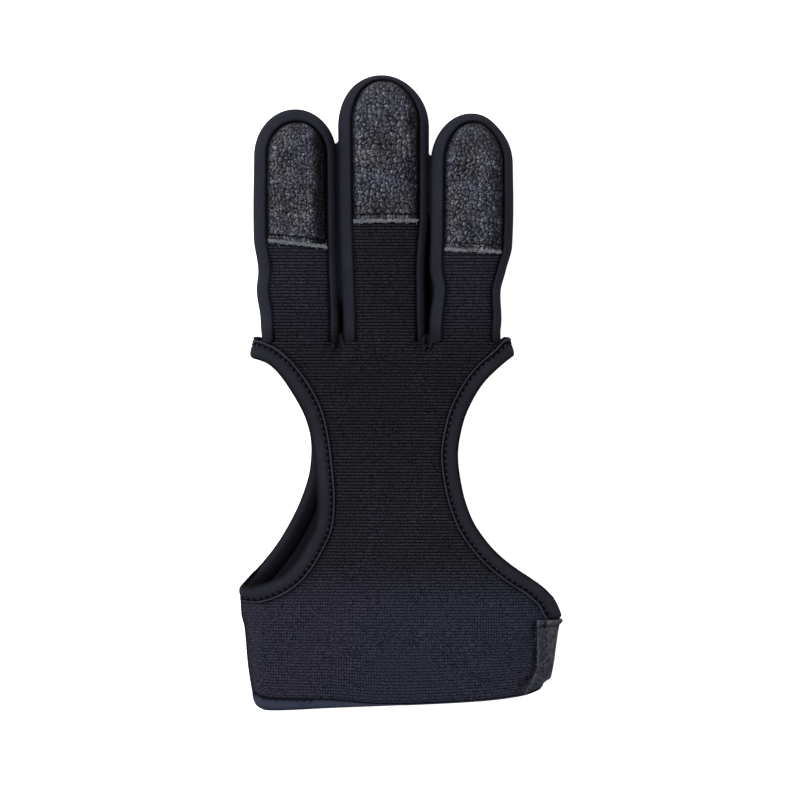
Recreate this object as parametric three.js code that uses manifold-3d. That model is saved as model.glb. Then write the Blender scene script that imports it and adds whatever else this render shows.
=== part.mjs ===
// A three-finger archery glove lying on its back, palm up, fingers along +Y.
// It is a flattened tube of thin cloth: a ribbed knit front, a smooth stretch back that rolls round
// the sides of the fingers, leather tips over the finger fronts, bound openings at both sides of the
// hand, a hemmed wrist, and a strap that goes round the wrist to a hook and a loop patch on the back.
// Units are millimetres. The origin is the middle of the footprint, on the surface it lies on.
import * as THREE from 'three';
import { mergeVertices } from 'three/addons/utils/BufferGeometryUtils.js';
import Module from 'manifold-3d';

const wasm = await Module();
wasm.setup();

// Cloth, leather and strap thicknesses
const KNIT_THICKNESS = 1.2;
const BACK_THICKNESS = 1.6;
const BINDING_THICKNESS = 2.4;
const HEM_THICKNESS = 2.0;
const LEATHER_THICKNESS = 1.3;
const STRAP_THICKNESS = 1.4;
const HOOK_THICKNESS = 0.8;
const LOOP_THICKNESS = 0.8;
// How far the back cloth and the bindings stand proud of the knit
const PROUD = 0.6;
// The clearance between any two pieces
const GAP = 0.3;

// Fingers, from left to right as seen with the palm up
const LEFT_FINGER_WIDTH = 28.0;
const LEFT_FINGER_LENGTH = 79.2;
const LEFT_FINGER_DOME = 15.8;
const LEFT_TIP_RIM = 4.8;
const LEFT_LEATHER_LENGTH = 46.0;
const LEFT_LEATHER_SLANT = 3.0;
const MIDDLE_FINGER_WIDTH = 31.0;
const MIDDLE_FINGER_LENGTH = 90.8;
const MIDDLE_FINGER_DOME = 17.7;
const MIDDLE_TIP_RIM = 2.2;
const MIDDLE_LEATHER_LENGTH = 50.0;
const MIDDLE_LEATHER_SLANT = -0.4;
const RIGHT_FINGER_WIDTH = 27.8;
const RIGHT_FINGER_LENGTH = 77.8;
const RIGHT_FINGER_DOME = 17.2;
const RIGHT_TIP_RIM = 3.4;
const RIGHT_LEATHER_LENGTH = 47.0;
const RIGHT_LEATHER_SLANT = 1.3;
const FINGER_GAP = 0.5;
// How far the row of fingers lies to the left of the wrist's middle
const FINGER_ROW_OFFSET = 5.7;
// The height in plan of the line where the fingers part
const CROTCH_Y = 17.2;

// The wrist, below the right side opening
const WRIST_DEPTH = 31.0;
const KNUCKLE_EAR = 2.9;
// How much more the right ear leans in than the finger above it
const EAR_LEAN = 1.4;
const WRIST_SLANT = 8.4;
const WRIST_LEFT_REACH = 4.2;
const WRIST_RIGHT_REACH = 19.2;

// Heights of the knit above the surface that the glove lies on
const FINGER_HEIGHT = 12.4;
const PALM_HEIGHT = 12.0;
const WRIST_HEIGHT = 13.2;
const SPLIT_HEIGHT = 7.0;

// Side openings: depths of the cuts from the knuckle ear, lengths down to the wrist, binding widths
const LEFT_CUT_DEPTH = 22.6;
const LEFT_CUT_LENGTH = 77.5;
const LEFT_BINDING_WIDTH = 6.2;
const RIGHT_CUT_DEPTH = 18.7;
const RIGHT_CUT_LENGTH = 89.0;
const RIGHT_BINDING_WIDTH = 5.4;
const BACK_EDGE_INSET = 1.2;
const SIDE_SPARE = 4.5;

// Finger fronts: cloth of the back that shows as a rim on each side of the knit
const LEFT_RIM = 4.8;
const RIGHT_RIM = 3.4;

// Wrist hem, strap and patches
const HEM_WIDTH = 3.4;
const STRAP_WIDTH = 20.2;
const STRAP_BACK_REACH = 76.0;
const TAB_REACH = 12.2;
const STRAP_CORNER = 4.0;
const STRAP_SIDE_INSET = 2.9;
const PATCH_MARGIN = 1.6;
const HOOK_LENGTH = 28.0;
const LOOP_LENGTH = 56.0;
// Share of the spare loop that lies beyond the end of the strap
const LOOP_SPARE = 0.25;

// Section quality: points round a finger, round the hand and along a curve
const FINGER_SIDES = 20;
const HAND_SIDES = 40;
const DOME_RINGS = 5;
// The last ring of a dome stops this share of a ring short of the tip
const DOME_TIP_CUT = 0.35;
const CURVE_STEPS = 20;
const CORNER_STEPS = 6;
// Oval exponents: a higher one is squarer. WAIST is the share of the height where an oval is widest, and
// a SOLE over 1 lets the underside reach its lowest level early and stay flat.
const CROWN = 3.0;
const FLATNESS = 4.0;
const SOLE = 1.05;
const DOME_SQUARENESS = 0.7;
const WAIST = 0.42;

// The cloth under the wrist is lifted by the strap and both patches
const BASE = PROUD;
const WRIST_BASE = STRAP_THICKNESS + HOOK_THICKNESS + LOOP_THICKNESS + 3 * GAP + PROUD;
const PALM_LENGTH = RIGHT_BINDING_WIDTH - PROUD + RIGHT_CUT_LENGTH + WRIST_DEPTH;
// Cutting outlines reach this far past the glove, and overlap each other by this much
const FAR = 400;
const ROOT_OVERLAP = 6;

// The three fingers, from left to right as seen with the palm up.
// Lengths run from the crotch line. Rows are shares: along is 0 at the crotch line and 1 where the dome
// starts, width and shift are shares of the finger's width, and height is a share of FINGER_HEIGHT. The
// lower rows hold the creases of the empty cloth.
const FINGERS = [
  {
    name: 'left',
    width: LEFT_FINGER_WIDTH,
    length: LEFT_FINGER_LENGTH,
    dome: LEFT_FINGER_DOME,
    tipRim: LEFT_TIP_RIM,
    leather: LEFT_LEATHER_LENGTH,
    leatherSlant: LEFT_LEATHER_SLANT,
    rows: [
      { along: -0.28, width: 0.93, shift: 0.050, height: 0.90 },
      { along: 0.02, width: 0.96, shift: 0.062, height: 0.96 },
      { along: 0.12, width: 0.965, shift: 0.058, height: 0.96 },
      { along: 0.28, width: 1.0, shift: 0.030, height: 0.97 },
      { along: 0.38, width: 0.97, shift: 0.036, height: 0.95 },
      { along: 0.56, width: 1.01, shift: 0.008, height: 0.98 },
      { along: 1, width: 1, shift: 0, height: 1 },
    ],
  },
  {
    name: 'middle',
    width: MIDDLE_FINGER_WIDTH,
    length: MIDDLE_FINGER_LENGTH,
    dome: MIDDLE_FINGER_DOME,
    tipRim: MIDDLE_TIP_RIM,
    leather: MIDDLE_LEATHER_LENGTH,
    leatherSlant: MIDDLE_LEATHER_SLANT,
    rows: [
      { along: -0.26, width: 0.9, shift: 0.010, height: 0.90 },
      { along: 0.02, width: 0.91, shift: 0.010, height: 0.96 },
      { along: 0.12, width: 0.915, shift: 0.008, height: 0.95 },
      { along: 0.27, width: 0.92, shift: -0.002, height: 0.94 },
      { along: 0.40, width: 0.94, shift: -0.004, height: 0.97 },
      { along: 0.56, width: 0.98, shift: 0.004, height: 0.98 },
      { along: 1, width: 1, shift: 0, height: 1 },
    ],
  },
  {
    name: 'right',
    width: RIGHT_FINGER_WIDTH,
    length: RIGHT_FINGER_LENGTH,
    dome: RIGHT_FINGER_DOME,
    tipRim: RIGHT_TIP_RIM,
    leather: RIGHT_LEATHER_LENGTH,
    leatherSlant: RIGHT_LEATHER_SLANT,
    rows: [
      { along: -0.28, width: 0.88, shift: -0.080, height: 0.90 },
      { along: 0.02, width: 0.885, shift: -0.080, height: 0.96 },
      { along: 0.12, width: 0.885, shift: -0.074, height: 0.95 },
      { along: 0.28, width: 0.83, shift: -0.058, height: 0.95 },
      { along: 0.40, width: 0.93, shift: -0.048, height: 0.96 },
      { along: 0.54, width: 0.995, shift: -0.012, height: 0.98 },
      { along: 1, width: 1, shift: 0, height: 1 },
    ],
  },
];

// The cuts at the sides of the hand. along is a share of the cut's length down from the ear, and depth
// a share of its depth in from the ear; a depth below 0 lies outside the ear.
const LEFT_FRONT_CUT = [
  { along: 0, depth: 0 },
  { along: 0.018, depth: 0.226 },
  { along: 0.066, depth: 0.436 },
  { along: 0.158, depth: 0.677 },
  { along: 0.281, depth: 0.857 },
  { along: 0.44, depth: 0.95 },
  { along: 0.632, depth: 1 },
  { along: 0.719, depth: 0.977 },
  { along: 0.798, depth: 0.857 },
  { along: 0.873, depth: 0.707 },
  { along: 0.925, depth: 0.556 },
  { along: 0.969, depth: 0.331 },
  { along: 0.995, depth: 0.03 },
];
const LEFT_BACK_CUT = [
  { along: 0, depth: 0 },
  { along: 0.018, depth: 0.226 },
  { along: 0.066, depth: 0.436 },
  { along: 0.158, depth: 0.677 },
  { along: 0.281, depth: 0.857 },
  { along: 0.40, depth: 0.90 },
  { along: 0.48, depth: 0.88 },
  { along: 0.623, depth: 0.735 },
  { along: 0.794, depth: 0.43 },
  { along: 0.873, depth: 0.232 },
  { along: 0.952, depth: -0.003 },
  { along: 0.995, depth: -0.137 },
];
const RIGHT_CUT = [
  { along: 0, depth: 0 },
  { along: 0.045, depth: 0.255 },
  { along: 0.106, depth: 0.545 },
  { along: 0.182, depth: 0.764 },
  { along: 0.258, depth: 0.909 },
  { along: 0.38, depth: 1.0 },
  { along: 0.5, depth: 0.927 },
  { along: 0.621, depth: 0.745 },
  { along: 0.682, depth: 0.564 },
  { along: 0.742, depth: 0.327 },
  { along: 0.803, depth: -0.018 },
  { along: 0.864, depth: -0.45 },
  { along: 0.91, depth: -0.69 },
  { along: 0.955, depth: -0.81 },
  { along: 0.995, depth: -0.88 },
];

// Sections of the hand. along is a share of PALM_LENGTH down from the crotch line. left and right are
// 0 at the deepest point of that side's cut and 1 at the straight line from ear to wrist. palm and lift
// mix the palm's height with the wrist's, and the flat underside with the lifted one.
const HAND_ROWS = [
  { along: 0, left: 0.99, right: 0.99, palm: 1, lift: 0 },
  { along: 0.035, left: 0.99, right: 0.99, palm: 1, lift: 0 },
  { along: 0.06, left: 0.86, right: 0.84, palm: 1, lift: 0 },
  { along: 0.11, left: 0.58, right: 0.56, palm: 1, lift: 0 },
  { along: 0.19, left: 0.28, right: 0.24, palm: 1, lift: 0 },
  { along: 0.30, left: 0.08, right: 0.04, palm: 1, lift: 0 },
  { along: 0.40, left: 0.12, right: 0.06, palm: 1, lift: 0 },
  { along: 0.50, left: 0.42, right: 0.22, palm: 1, lift: 0 },
  { along: 0.58, left: 0.68, right: 0.50, palm: 0.9, lift: 0.05 },
  { along: 0.64, left: 0.90, right: 0.80, palm: 0.7, lift: 0.3 },
  { along: 0.68, left: 1.03, right: 1.0, palm: 0.5, lift: 0.65 },
  { along: 0.74, left: 1.005, right: 1.045, palm: 0.2, lift: 1 },
  { along: 0.775, left: 0.95, right: 0.97, palm: 0.1, lift: 1 },
  { along: 0.88, left: 0.875, right: 0.845, palm: 0, lift: 1 },
  { along: 0.96, left: 0.79, right: 0.745, palm: 0, lift: 1 },
  { along: 1.04, left: 0.66, right: 0.69, palm: 0, lift: 1 },
];

// The wrist's lower edge: across is a share of the wrist's width from its left side, and rise is a share
// of WRIST_SLANT above the lowest point. The first and last rows lie beyond the cloth.
const WRIST_EDGE = [
  { across: -1, rise: 8 },
  { across: 0.02, rise: 0.60 },
  { across: 0.05, rise: 0.19 },
  { across: 0.09, rise: 0 },
  { across: 0.28, rise: 0.12 },
  { across: 0.50, rise: 0.24 },
  { across: 0.73, rise: 0.40 },
  { across: 0.86, rise: 0.61 },
  { across: 0.94, rise: 1 },
  { across: 2, rise: 8 },
];

// The front end of the strap in plan, from its upper corner at the wrist's side: inwards is a share of
// TAB_REACH and down a share of STRAP_WIDTH. The first and last rows lie beyond the wrist's side.
const STRAP_TAB = [
  { inwards: -2, down: 0 },
  { inwards: 0.67, down: 0.04 },
  { inwards: 0.72, down: 0.77 },
  { inwards: 1, down: 1.24 },
  { inwards: 0.56, down: 1.11 },
  { inwards: 0.28, down: 1.01 },
  { inwards: -2, down: 1 },
];

const mix = (a, b, share) => a + (b - a) * share;

// Layout worked out from the sizes above
let reach = 0;
for (const finger of FINGERS) {
  finger.middle = reach + finger.width / 2;
  reach += finger.width + FINGER_GAP;
}
const ROW_WIDTH = reach - FINGER_GAP;
const ROW_LEFT = -ROW_WIDTH / 2 - FINGER_ROW_OFFSET;
for (const finger of FINGERS) finger.middle += ROW_LEFT;
const EAR_LEFT = ROW_LEFT - KNUCKLE_EAR + FINGERS[0].rows[1].shift * FINGERS[0].width;
const EAR_RIGHT = ROW_LEFT + ROW_WIDTH + KNUCKLE_EAR + FINGERS[2].rows[1].shift * FINGERS[2].width * EAR_LEAN;
const WRIST_LEFT = EAR_LEFT - WRIST_LEFT_REACH;
const WRIST_RIGHT = EAR_RIGHT + WRIST_RIGHT_REACH;
const WRIST_END_Y = CROTCH_Y - PALM_LENGTH;

// Turns a closed three.js geometry into a solid that can be joined and cut
function solidOf(geometry) {
  const bare = geometry.index ? geometry.toNonIndexed() : geometry.clone();
  bare.deleteAttribute('normal');
  bare.deleteAttribute('uv');
  const merged = mergeVertices(bare, 1e-4);
  return new wasm.Manifold(new wasm.Mesh({
    numProp: 3,
    vertProperties: merged.attributes.position.array,
    triVerts: new Uint32Array(merged.index.array),
  }));
}

// A closed oval in the XZ plane: a crowned top and a nearly flat underside, widest at the height waist
function oval({ left, right, bottom, waist, top, sides }) {
  const halfWidth = (right - left) / 2;
  const centre = (left + right) / 2;
  const points = [];
  for (let i = 0; i < sides; i++) {
    const angle = (2 * Math.PI * i) / sides;
    const c = Math.cos(angle);
    const s = Math.sin(angle);
    const squareness = s >= 0 ? CROWN : FLATNESS;
    const rise = Math.abs(s) ** (2 / squareness);
    points.push([
      centre + halfWidth * Math.sign(c) * Math.abs(c) ** (2 / squareness),
      s >= 0 ? mix(waist, top, rise) : mix(waist, bottom, Math.min(1, SOLE * rise)),
    ]);
  }
  return points;
}

// A closed solid through rings of XZ points, from the highest y to the lowest
function loft(rings) {
  const count = rings[0].points.length;
  const vertices = [];
  const index = [];
  for (const { y, points } of rings) for (const [x, z] of points) vertices.push(x, y, z);
  for (let ring = 0; ring + 1 < rings.length; ring++) {
    for (let i = 0; i < count; i++) {
      const a = ring * count + i;
      const b = ring * count + ((i + 1) % count);
      index.push(a, b, a + count, b, b + count, a + count);
    }
  }
  for (const end of [0, rings.length - 1]) {
    const { y, points } = rings[end];
    const hub = vertices.length / 3;
    const x = points.reduce((sum, p) => sum + p[0], 0) / count;
    const z = points.reduce((sum, p) => sum + p[1], 0) / count;
    vertices.push(x, y, z);
    for (let i = 0; i < count; i++) {
      const a = end * count + i;
      const b = end * count + ((i + 1) % count);
      if (end === 0) index.push(hub, b, a);
      else index.push(hub, a, b);
    }
  }
  const geometry = new THREE.BufferGeometry();
  geometry.setAttribute('position', new THREE.Float32BufferAttribute(vertices, 3));
  geometry.setIndex(index);
  return solidOf(geometry);
}

// The finger's outline in plan at a row of its table, without the dome
function fingerSpan(finger, row) {
  const halfWidth = (finger.width * row.width) / 2 - PROUD;
  const centre = finger.middle + finger.width * row.shift;
  const straight = finger.length - finger.dome;
  return { y: CROTCH_Y + straight * row.along, left: centre - halfWidth, right: centre + halfWidth };
}

// One finger, grown outwards by grow all round
function fingerSolid(finger, grow) {
  const rings = [];
  const last = finger.rows[finger.rows.length - 1];
  const start = fingerSpan(finger, last);
  const halfWidth = (start.right - start.left) / 2;
  const waist = mix(BASE, FINGER_HEIGHT, WAIST);
  for (let ring = DOME_RINGS; ring > 0; ring--) {
    const angle = (Math.PI / 2) * (ring / (DOME_RINGS + DOME_TIP_CUT));
    const wide = Math.cos(angle);
    const high = wide ** DOME_SQUARENESS;
    rings.push({
      y: start.y + (finger.dome - PROUD + grow) * Math.sin(angle),
      points: oval({
        left: finger.middle - (halfWidth + grow) * wide,
        right: finger.middle + (halfWidth + grow) * wide,
        bottom: waist - (waist - BASE + grow) * high,
        waist,
        top: waist + (FINGER_HEIGHT - waist + grow) * high,
        sides: FINGER_SIDES,
      }),
    });
  }
  for (const row of [...finger.rows].reverse()) {
    const { y, left, right } = fingerSpan(finger, row);
    rings.push({
      y,
      points: oval({
        left: left - grow,
        right: right + grow,
        bottom: BASE - grow,
        waist,
        top: FINGER_HEIGHT * row.height + grow,
        sides: FINGER_SIDES,
      }),
    });
  }
  return loft(rings);
}

// The hand's outline and heights at a row of its table
function handSpan(row) {
  const y = CROTCH_Y - PALM_LENGTH * row.along;
  const leftLine = mix(EAR_LEFT, WRIST_LEFT, row.along);
  const rightLine = mix(EAR_RIGHT, WRIST_RIGHT, row.along);
  return {
    y,
    left: mix(EAR_LEFT + LEFT_CUT_DEPTH - SIDE_SPARE, leftLine, row.left) + PROUD,
    right: mix(EAR_RIGHT - RIGHT_CUT_DEPTH + SIDE_SPARE, rightLine, row.right) - PROUD,
    bottom: mix(BASE, WRIST_BASE, row.lift),
    top: mix(WRIST_HEIGHT, PALM_HEIGHT, row.palm),
  };
}

function handSolid(grow) {
  const rings = HAND_ROWS.map((row, i) => {
    const { y, left, right, bottom, top } = handSpan(row);
    return {
      y: i === 0 ? y + grow : y,
      points: oval({
        left: left - grow,
        right: right + grow,
        bottom: bottom - grow,
        waist: mix(bottom, top, WAIST),
        top: top + grow,
        sides: HAND_SIDES,
      }),
    };
  });
  return loft(rings);
}

const bodies = new Map();
function bodySolid(grow) {
  const key = grow.toFixed(3);
  if (!bodies.has(key)) {
    const solid = FINGERS.reduce((sum, finger) => sum.add(fingerSolid(finger, grow)), handSolid(grow));
    bodies.set(key, solid);
  }
  return bodies.get(key);
}

// The layer of the glove between two offsets of its surface
const layer = (outer, inner) => bodySolid(outer).subtract(bodySolid(inner));

// A plan outline stood up as a prism from one height to another
function prism(points, bottom = -FAR, top = FAR) {
  const shape = new THREE.Shape(points.map(([x, y]) => new THREE.Vector2(x, y)));
  const geometry = new THREE.ExtrudeGeometry(shape, { depth: top - bottom, bevelEnabled: false });
  geometry.translate(0, 0, bottom);
  return solidOf(geometry);
}

const rectangle = (x0, y0, x1, y1) => [[x0, y0], [x1, y0], [x1, y1], [x0, y1]];

// A smooth curve through the rows of a cut, from the ear down to the wrist, moved sideways by inset
function cutCurve(cut, face, inset) {
  const { side } = cut;
  const earBottomY = CROTCH_Y + PROUD - cut.width;
  const rowPoints = cut[face].map((row) => new THREE.Vector2(
    cut.ear + side * cut.depth * row.depth,
    earBottomY - cut.length * row.along,
  ));
  const curve = new THREE.SplineCurve(rowPoints);
  const points = [];
  for (let i = 0; i <= CURVE_STEPS; i++) {
    const t = i / CURVE_STEPS;
    const at = curve.getPoint(t);
    const along = curve.getTangent(t);
    points.push([at.x - side * along.y * inset, at.y + side * along.x * inset]);
  }
  return points;
}

// The plan area outside a cut: side is 1 on the left, where inwards is +x, and -1 on the right
function outside(points, side) {
  const far = -side * FAR;
  const first = points[0];
  const last = points[points.length - 1];
  return [[far, first[1]], ...points, [far, last[1]]];
}

const CUTS = [
  {
    name: 'left', side: 1, ear: EAR_LEFT, depth: LEFT_CUT_DEPTH, length: LEFT_CUT_LENGTH,
    width: LEFT_BINDING_WIDTH, front: LEFT_FRONT_CUT, back: LEFT_BACK_CUT, backInset: 0,
  },
  {
    name: 'right', side: -1, ear: EAR_RIGHT, depth: RIGHT_CUT_DEPTH, length: RIGHT_CUT_LENGTH,
    width: RIGHT_BINDING_WIDTH, front: RIGHT_CUT, back: RIGHT_CUT, backInset: BACK_EDGE_INSET,
  },
];

// The prism outside one cut, moved inwards by inset, for the front or the back of the glove
function cutPrism(cut, face, inset) {
  const front = face === 'front';
  const extra = front ? 0 : cut.backInset;
  const points = cutCurve(cut, face, inset + extra);
  return front ? prism(outside(points, cut.side), SPLIT_HEIGHT, FAR) : prism(outside(points, cut.side), -FAR, SPLIT_HEIGHT);
}

// Both faces of one cut together
const cutBoth = (cut, inset) => cutPrism(cut, 'front', inset).add(cutPrism(cut, 'back', inset));

// Everything below the wrist's lower edge, with that edge moved up by lift
function belowWrist(lift) {
  const edge = WRIST_EDGE.map(({ across, rise }) => [
    mix(WRIST_LEFT, WRIST_RIGHT, across),
    WRIST_END_Y + WRIST_SLANT * rise + lift,
  ]);
  return prism([...edge, [edge[edge.length - 1][0], -FAR], [edge[0][0], -FAR]].reverse());
}

// The front panel of one finger in plan, moved inwards by inset
function tongue(finger, inset, fromY) {
  const spans = finger.rows.map((row) => fingerSpan(finger, row)).filter((span) => span.y >= fromY);
  const lowest = fingerSpan(finger, finger.rows[1]);
  const all = [{ ...lowest, y: fromY }, ...spans];
  const edge = inset - PROUD;
  const leftSide = all.map(({ y, left }) => [left + LEFT_RIM + edge, y]);
  const rightSide = all.map(({ y, right }) => [right - RIGHT_RIM - edge, y]);
  const start = spans[spans.length - 1];
  const x0 = start.left + LEFT_RIM + edge;
  const x1 = start.right - RIGHT_RIM - edge;
  const rise = finger.dome - finger.tipRim - inset;
  const dome = [];
  for (let i = 1; i < CURVE_STEPS / 2; i++) {
    const angle = (2 * Math.PI * i) / CURVE_STEPS;
    dome.push([(x0 + x1) / 2 + ((x1 - x0) / 2) * Math.cos(angle), start.y + rise * Math.sin(angle)]);
  }
  return [...leftSide.reverse(), ...rightSide, ...dome];
}

// The front panel: palm below the crotch line, and three tongues above it
function frontArea(inset, seamInset) {
  const palm = prism(rectangle(-FAR, -FAR, FAR, CROTCH_Y - inset), SPLIT_HEIGHT, FAR);
  return FINGERS.reduce(
    (sum, finger) => sum.add(prism(tongue(finger, seamInset, CROTCH_Y - ROOT_OVERLAP), SPLIT_HEIGHT, FAR)),
    palm,
  );
}

function knitFront() {
  let cloth = layer(0, -KNIT_THICKNESS).intersect(frontArea(0, 0));
  for (const cut of CUTS) cloth = cloth.subtract(cutPrism(cut, 'front', cut.width + GAP));
  return cloth.subtract(belowWrist(HEM_WIDTH + GAP));
}

function stretchBack() {
  const crotch = prism(rectangle(-FAR, -FAR, FAR, CROTCH_Y + PROUD + GAP), SPLIT_HEIGHT - GAP, FAR);
  const tongues = FINGERS.map((finger) => prism(tongue(finger, -GAP, CROTCH_Y - ROOT_OVERLAP), SPLIT_HEIGHT - GAP, FAR));
  let cloth = layer(PROUD, PROUD - BACK_THICKNESS).subtract(crotch);
  for (const cutter of tongues) cloth = cloth.subtract(cutter);
  for (const cut of CUTS) cloth = cloth.subtract(cutBoth(cut, cut.width + GAP));
  return cloth.subtract(belowWrist(HEM_WIDTH + GAP));
}

function sideBinding(cut) {
  const strip = cutBoth(cut, cut.width).subtract(cutBoth(cut, 0));
  return layer(PROUD, PROUD - BINDING_THICKNESS).intersect(strip);
}

function leatherTip(finger) {
  const low = CROTCH_Y + finger.length - finger.leather;
  const slant = finger.leatherSlant / 2;
  const above = prism([
    [finger.middle - finger.width, low + 2 * slant],
    [finger.middle + finger.width, low - 2 * slant],
    [finger.middle + finger.width, FAR],
    [finger.middle - finger.width, FAR],
  ], SPLIT_HEIGHT, FAR);
  const panel = prism(tongue(finger, GAP, CROTCH_Y), SPLIT_HEIGHT, FAR);
  return layer(GAP + LEATHER_THICKNESS, GAP).intersect(panel).intersect(above);
}

function wristHem() {
  return layer(PROUD, PROUD - HEM_THICKNESS).intersect(belowWrist(HEM_WIDTH)).subtract(belowWrist(0));
}

// The strap's own surface round the wrist: it clears the cloth by GAP and lies flat underneath
function strapSolid(grow, bottom) {
  const rings = HAND_ROWS.filter((row) => row.along > 0.6).map((row) => {
    const span = handSpan(row);
    return {
      y: span.y,
      points: oval({
        left: span.left - grow,
        right: span.right + grow,
        bottom,
        waist: mix(span.bottom, span.top, WAIST),
        top: span.top + grow,
        sides: HAND_SIDES,
      }),
    };
  });
  return loft(rings);
}

const STRAP_TOP_Y = WRIST_END_Y + WRIST_DEPTH - GAP;
const STRAP_BOTTOM_Y = STRAP_TOP_Y - STRAP_WIDTH;
const STRAP_SIDE_X = WRIST_RIGHT - STRAP_SIDE_INSET;
const STRAP_END_X = STRAP_SIDE_X - STRAP_BACK_REACH;

// A plan rectangle with one rounded end on its left
function roundEnded(x0, y0, x1, y1, radius) {
  const points = [[x1, y0], [x1, y1]];
  for (let i = 0; i <= CORNER_STEPS; i++) {
    const angle = Math.PI / 2 + (Math.PI / 2) * (i / CORNER_STEPS);
    points.push([x0 + radius + radius * Math.cos(angle), y1 - radius + radius * Math.sin(angle)]);
  }
  for (let i = 0; i <= CORNER_STEPS; i++) {
    const angle = Math.PI + (Math.PI / 2) * (i / CORNER_STEPS);
    points.push([x0 + radius + radius * Math.cos(angle), y0 + radius + radius * Math.sin(angle)]);
  }
  return points;
}

function wristStrap() {
  const skin = PROUD + GAP;
  const band = strapSolid(skin + STRAP_THICKNESS, 0).subtract(strapSolid(skin, STRAP_THICKNESS));
  const tab = STRAP_TAB.map(({ inwards, down }) => [
    STRAP_SIDE_X - TAB_REACH * inwards,
    STRAP_TOP_Y - STRAP_WIDTH * down,
  ]);
  const front = prism(tab, SPLIT_HEIGHT, FAR);
  const back = prism(roundEnded(STRAP_END_X, STRAP_BOTTOM_Y, FAR, STRAP_TOP_Y, STRAP_CORNER), -FAR, SPLIT_HEIGHT);
  return band.intersect(front.add(back));
}

// A patch in the layer under the wrist's back, between two offsets of the glove's surface
function patch(inner, thickness, x0, x1) {
  const low = STRAP_BOTTOM_Y + PATCH_MARGIN;
  const high = STRAP_TOP_Y - PATCH_MARGIN;
  return layer(inner + thickness, inner).intersect(prism(rectangle(x0, low, x1, high), -FAR, SPLIT_HEIGHT - STRAP_THICKNESS));
}

const HOOK_X = STRAP_END_X + PATCH_MARGIN;
const LOOP_X = HOOK_X - (LOOP_LENGTH - HOOK_LENGTH) * LOOP_SPARE;
const loopPatch = () => patch(PROUD + GAP, LOOP_THICKNESS, LOOP_X, LOOP_X + LOOP_LENGTH);
const hookPatch = () => patch(PROUD + 2 * GAP + LOOP_THICKNESS, HOOK_THICKNESS, HOOK_X, HOOK_X + HOOK_LENGTH);

// Materials, from the photo
const MATERIALS = {
  knit: new THREE.MeshStandardMaterial({ color: 0x17171c, roughness: 0.95, metalness: 0 }),
  stretch: new THREE.MeshStandardMaterial({ color: 0x1a1c22, roughness: 0.85, metalness: 0 }),
  binding: new THREE.MeshStandardMaterial({ color: 0x1c1e25, roughness: 0.8, metalness: 0 }),
  leather: new THREE.MeshStandardMaterial({ color: 0x2b2b30, roughness: 0.5, metalness: 0 }),
  strap: new THREE.MeshStandardMaterial({ color: 0x212226, roughness: 0.6, metalness: 0 }),
  fastener: new THREE.MeshStandardMaterial({ color: 0x121214, roughness: 1, metalness: 0 }),
};

const glove = new THREE.Group();

function addPiece(name, solid, material) {
  const { vertProperties, triVerts, numProp } = solid.getMesh();
  const geometry = new THREE.BufferGeometry();
  const position = new Float32Array((vertProperties.length / numProp) * 3);
  for (let i = 0; i < position.length / 3; i++) {
    position.set(vertProperties.subarray(i * numProp, i * numProp + 3), i * 3);
  }
  geometry.setAttribute('position', new THREE.BufferAttribute(position, 3));
  geometry.setIndex(new THREE.BufferAttribute(new Uint32Array(triVerts), 1));
  const mesh = new THREE.Mesh(geometry, material);
  mesh.name = name;
  glove.add(mesh);
}

addPiece('knit_front', knitFront(), MATERIALS.knit);
addPiece('stretch_back', stretchBack(), MATERIALS.stretch);
for (const cut of CUTS) addPiece(`binding_${cut.name}`, sideBinding(cut), MATERIALS.binding);
for (const finger of FINGERS) addPiece(`leather_tip_${finger.name}`, leatherTip(finger), MATERIALS.leather);
addPiece('wrist_hem', wristHem(), MATERIALS.binding);
addPiece('wrist_strap', wristStrap(), MATERIALS.strap);
addPiece('hook_patch', hookPatch(), MATERIALS.fastener);
addPiece('loop_patch', loopPatch(), MATERIALS.fastener);

// The origin goes to the middle of the footprint
const footprint = new THREE.Box3().setFromObject(glove);
glove.position.set(-(footprint.min.x + footprint.max.x) / 2, -(footprint.min.y + footprint.max.y) / 2, -footprint.min.z);

export default glove;
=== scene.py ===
"""Archery glove lying palm up: cloth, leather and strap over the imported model, with light and camera."""
import math
import bmesh
import bpy
import numpy as np
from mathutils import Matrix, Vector


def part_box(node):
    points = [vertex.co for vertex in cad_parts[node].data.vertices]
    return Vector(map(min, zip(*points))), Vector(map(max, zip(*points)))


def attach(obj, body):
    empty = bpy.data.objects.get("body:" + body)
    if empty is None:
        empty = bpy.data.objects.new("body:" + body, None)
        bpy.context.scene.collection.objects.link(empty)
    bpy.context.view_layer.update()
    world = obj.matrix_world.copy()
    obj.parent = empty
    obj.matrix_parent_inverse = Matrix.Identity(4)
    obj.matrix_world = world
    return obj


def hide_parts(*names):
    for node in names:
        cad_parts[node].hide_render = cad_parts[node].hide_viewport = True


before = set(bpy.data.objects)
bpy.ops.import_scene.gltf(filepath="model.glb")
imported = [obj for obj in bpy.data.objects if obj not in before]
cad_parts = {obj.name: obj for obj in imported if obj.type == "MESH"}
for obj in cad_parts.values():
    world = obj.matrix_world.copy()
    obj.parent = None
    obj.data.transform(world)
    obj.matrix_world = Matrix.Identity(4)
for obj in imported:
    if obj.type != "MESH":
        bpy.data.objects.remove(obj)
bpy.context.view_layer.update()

MM = 0.001

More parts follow.
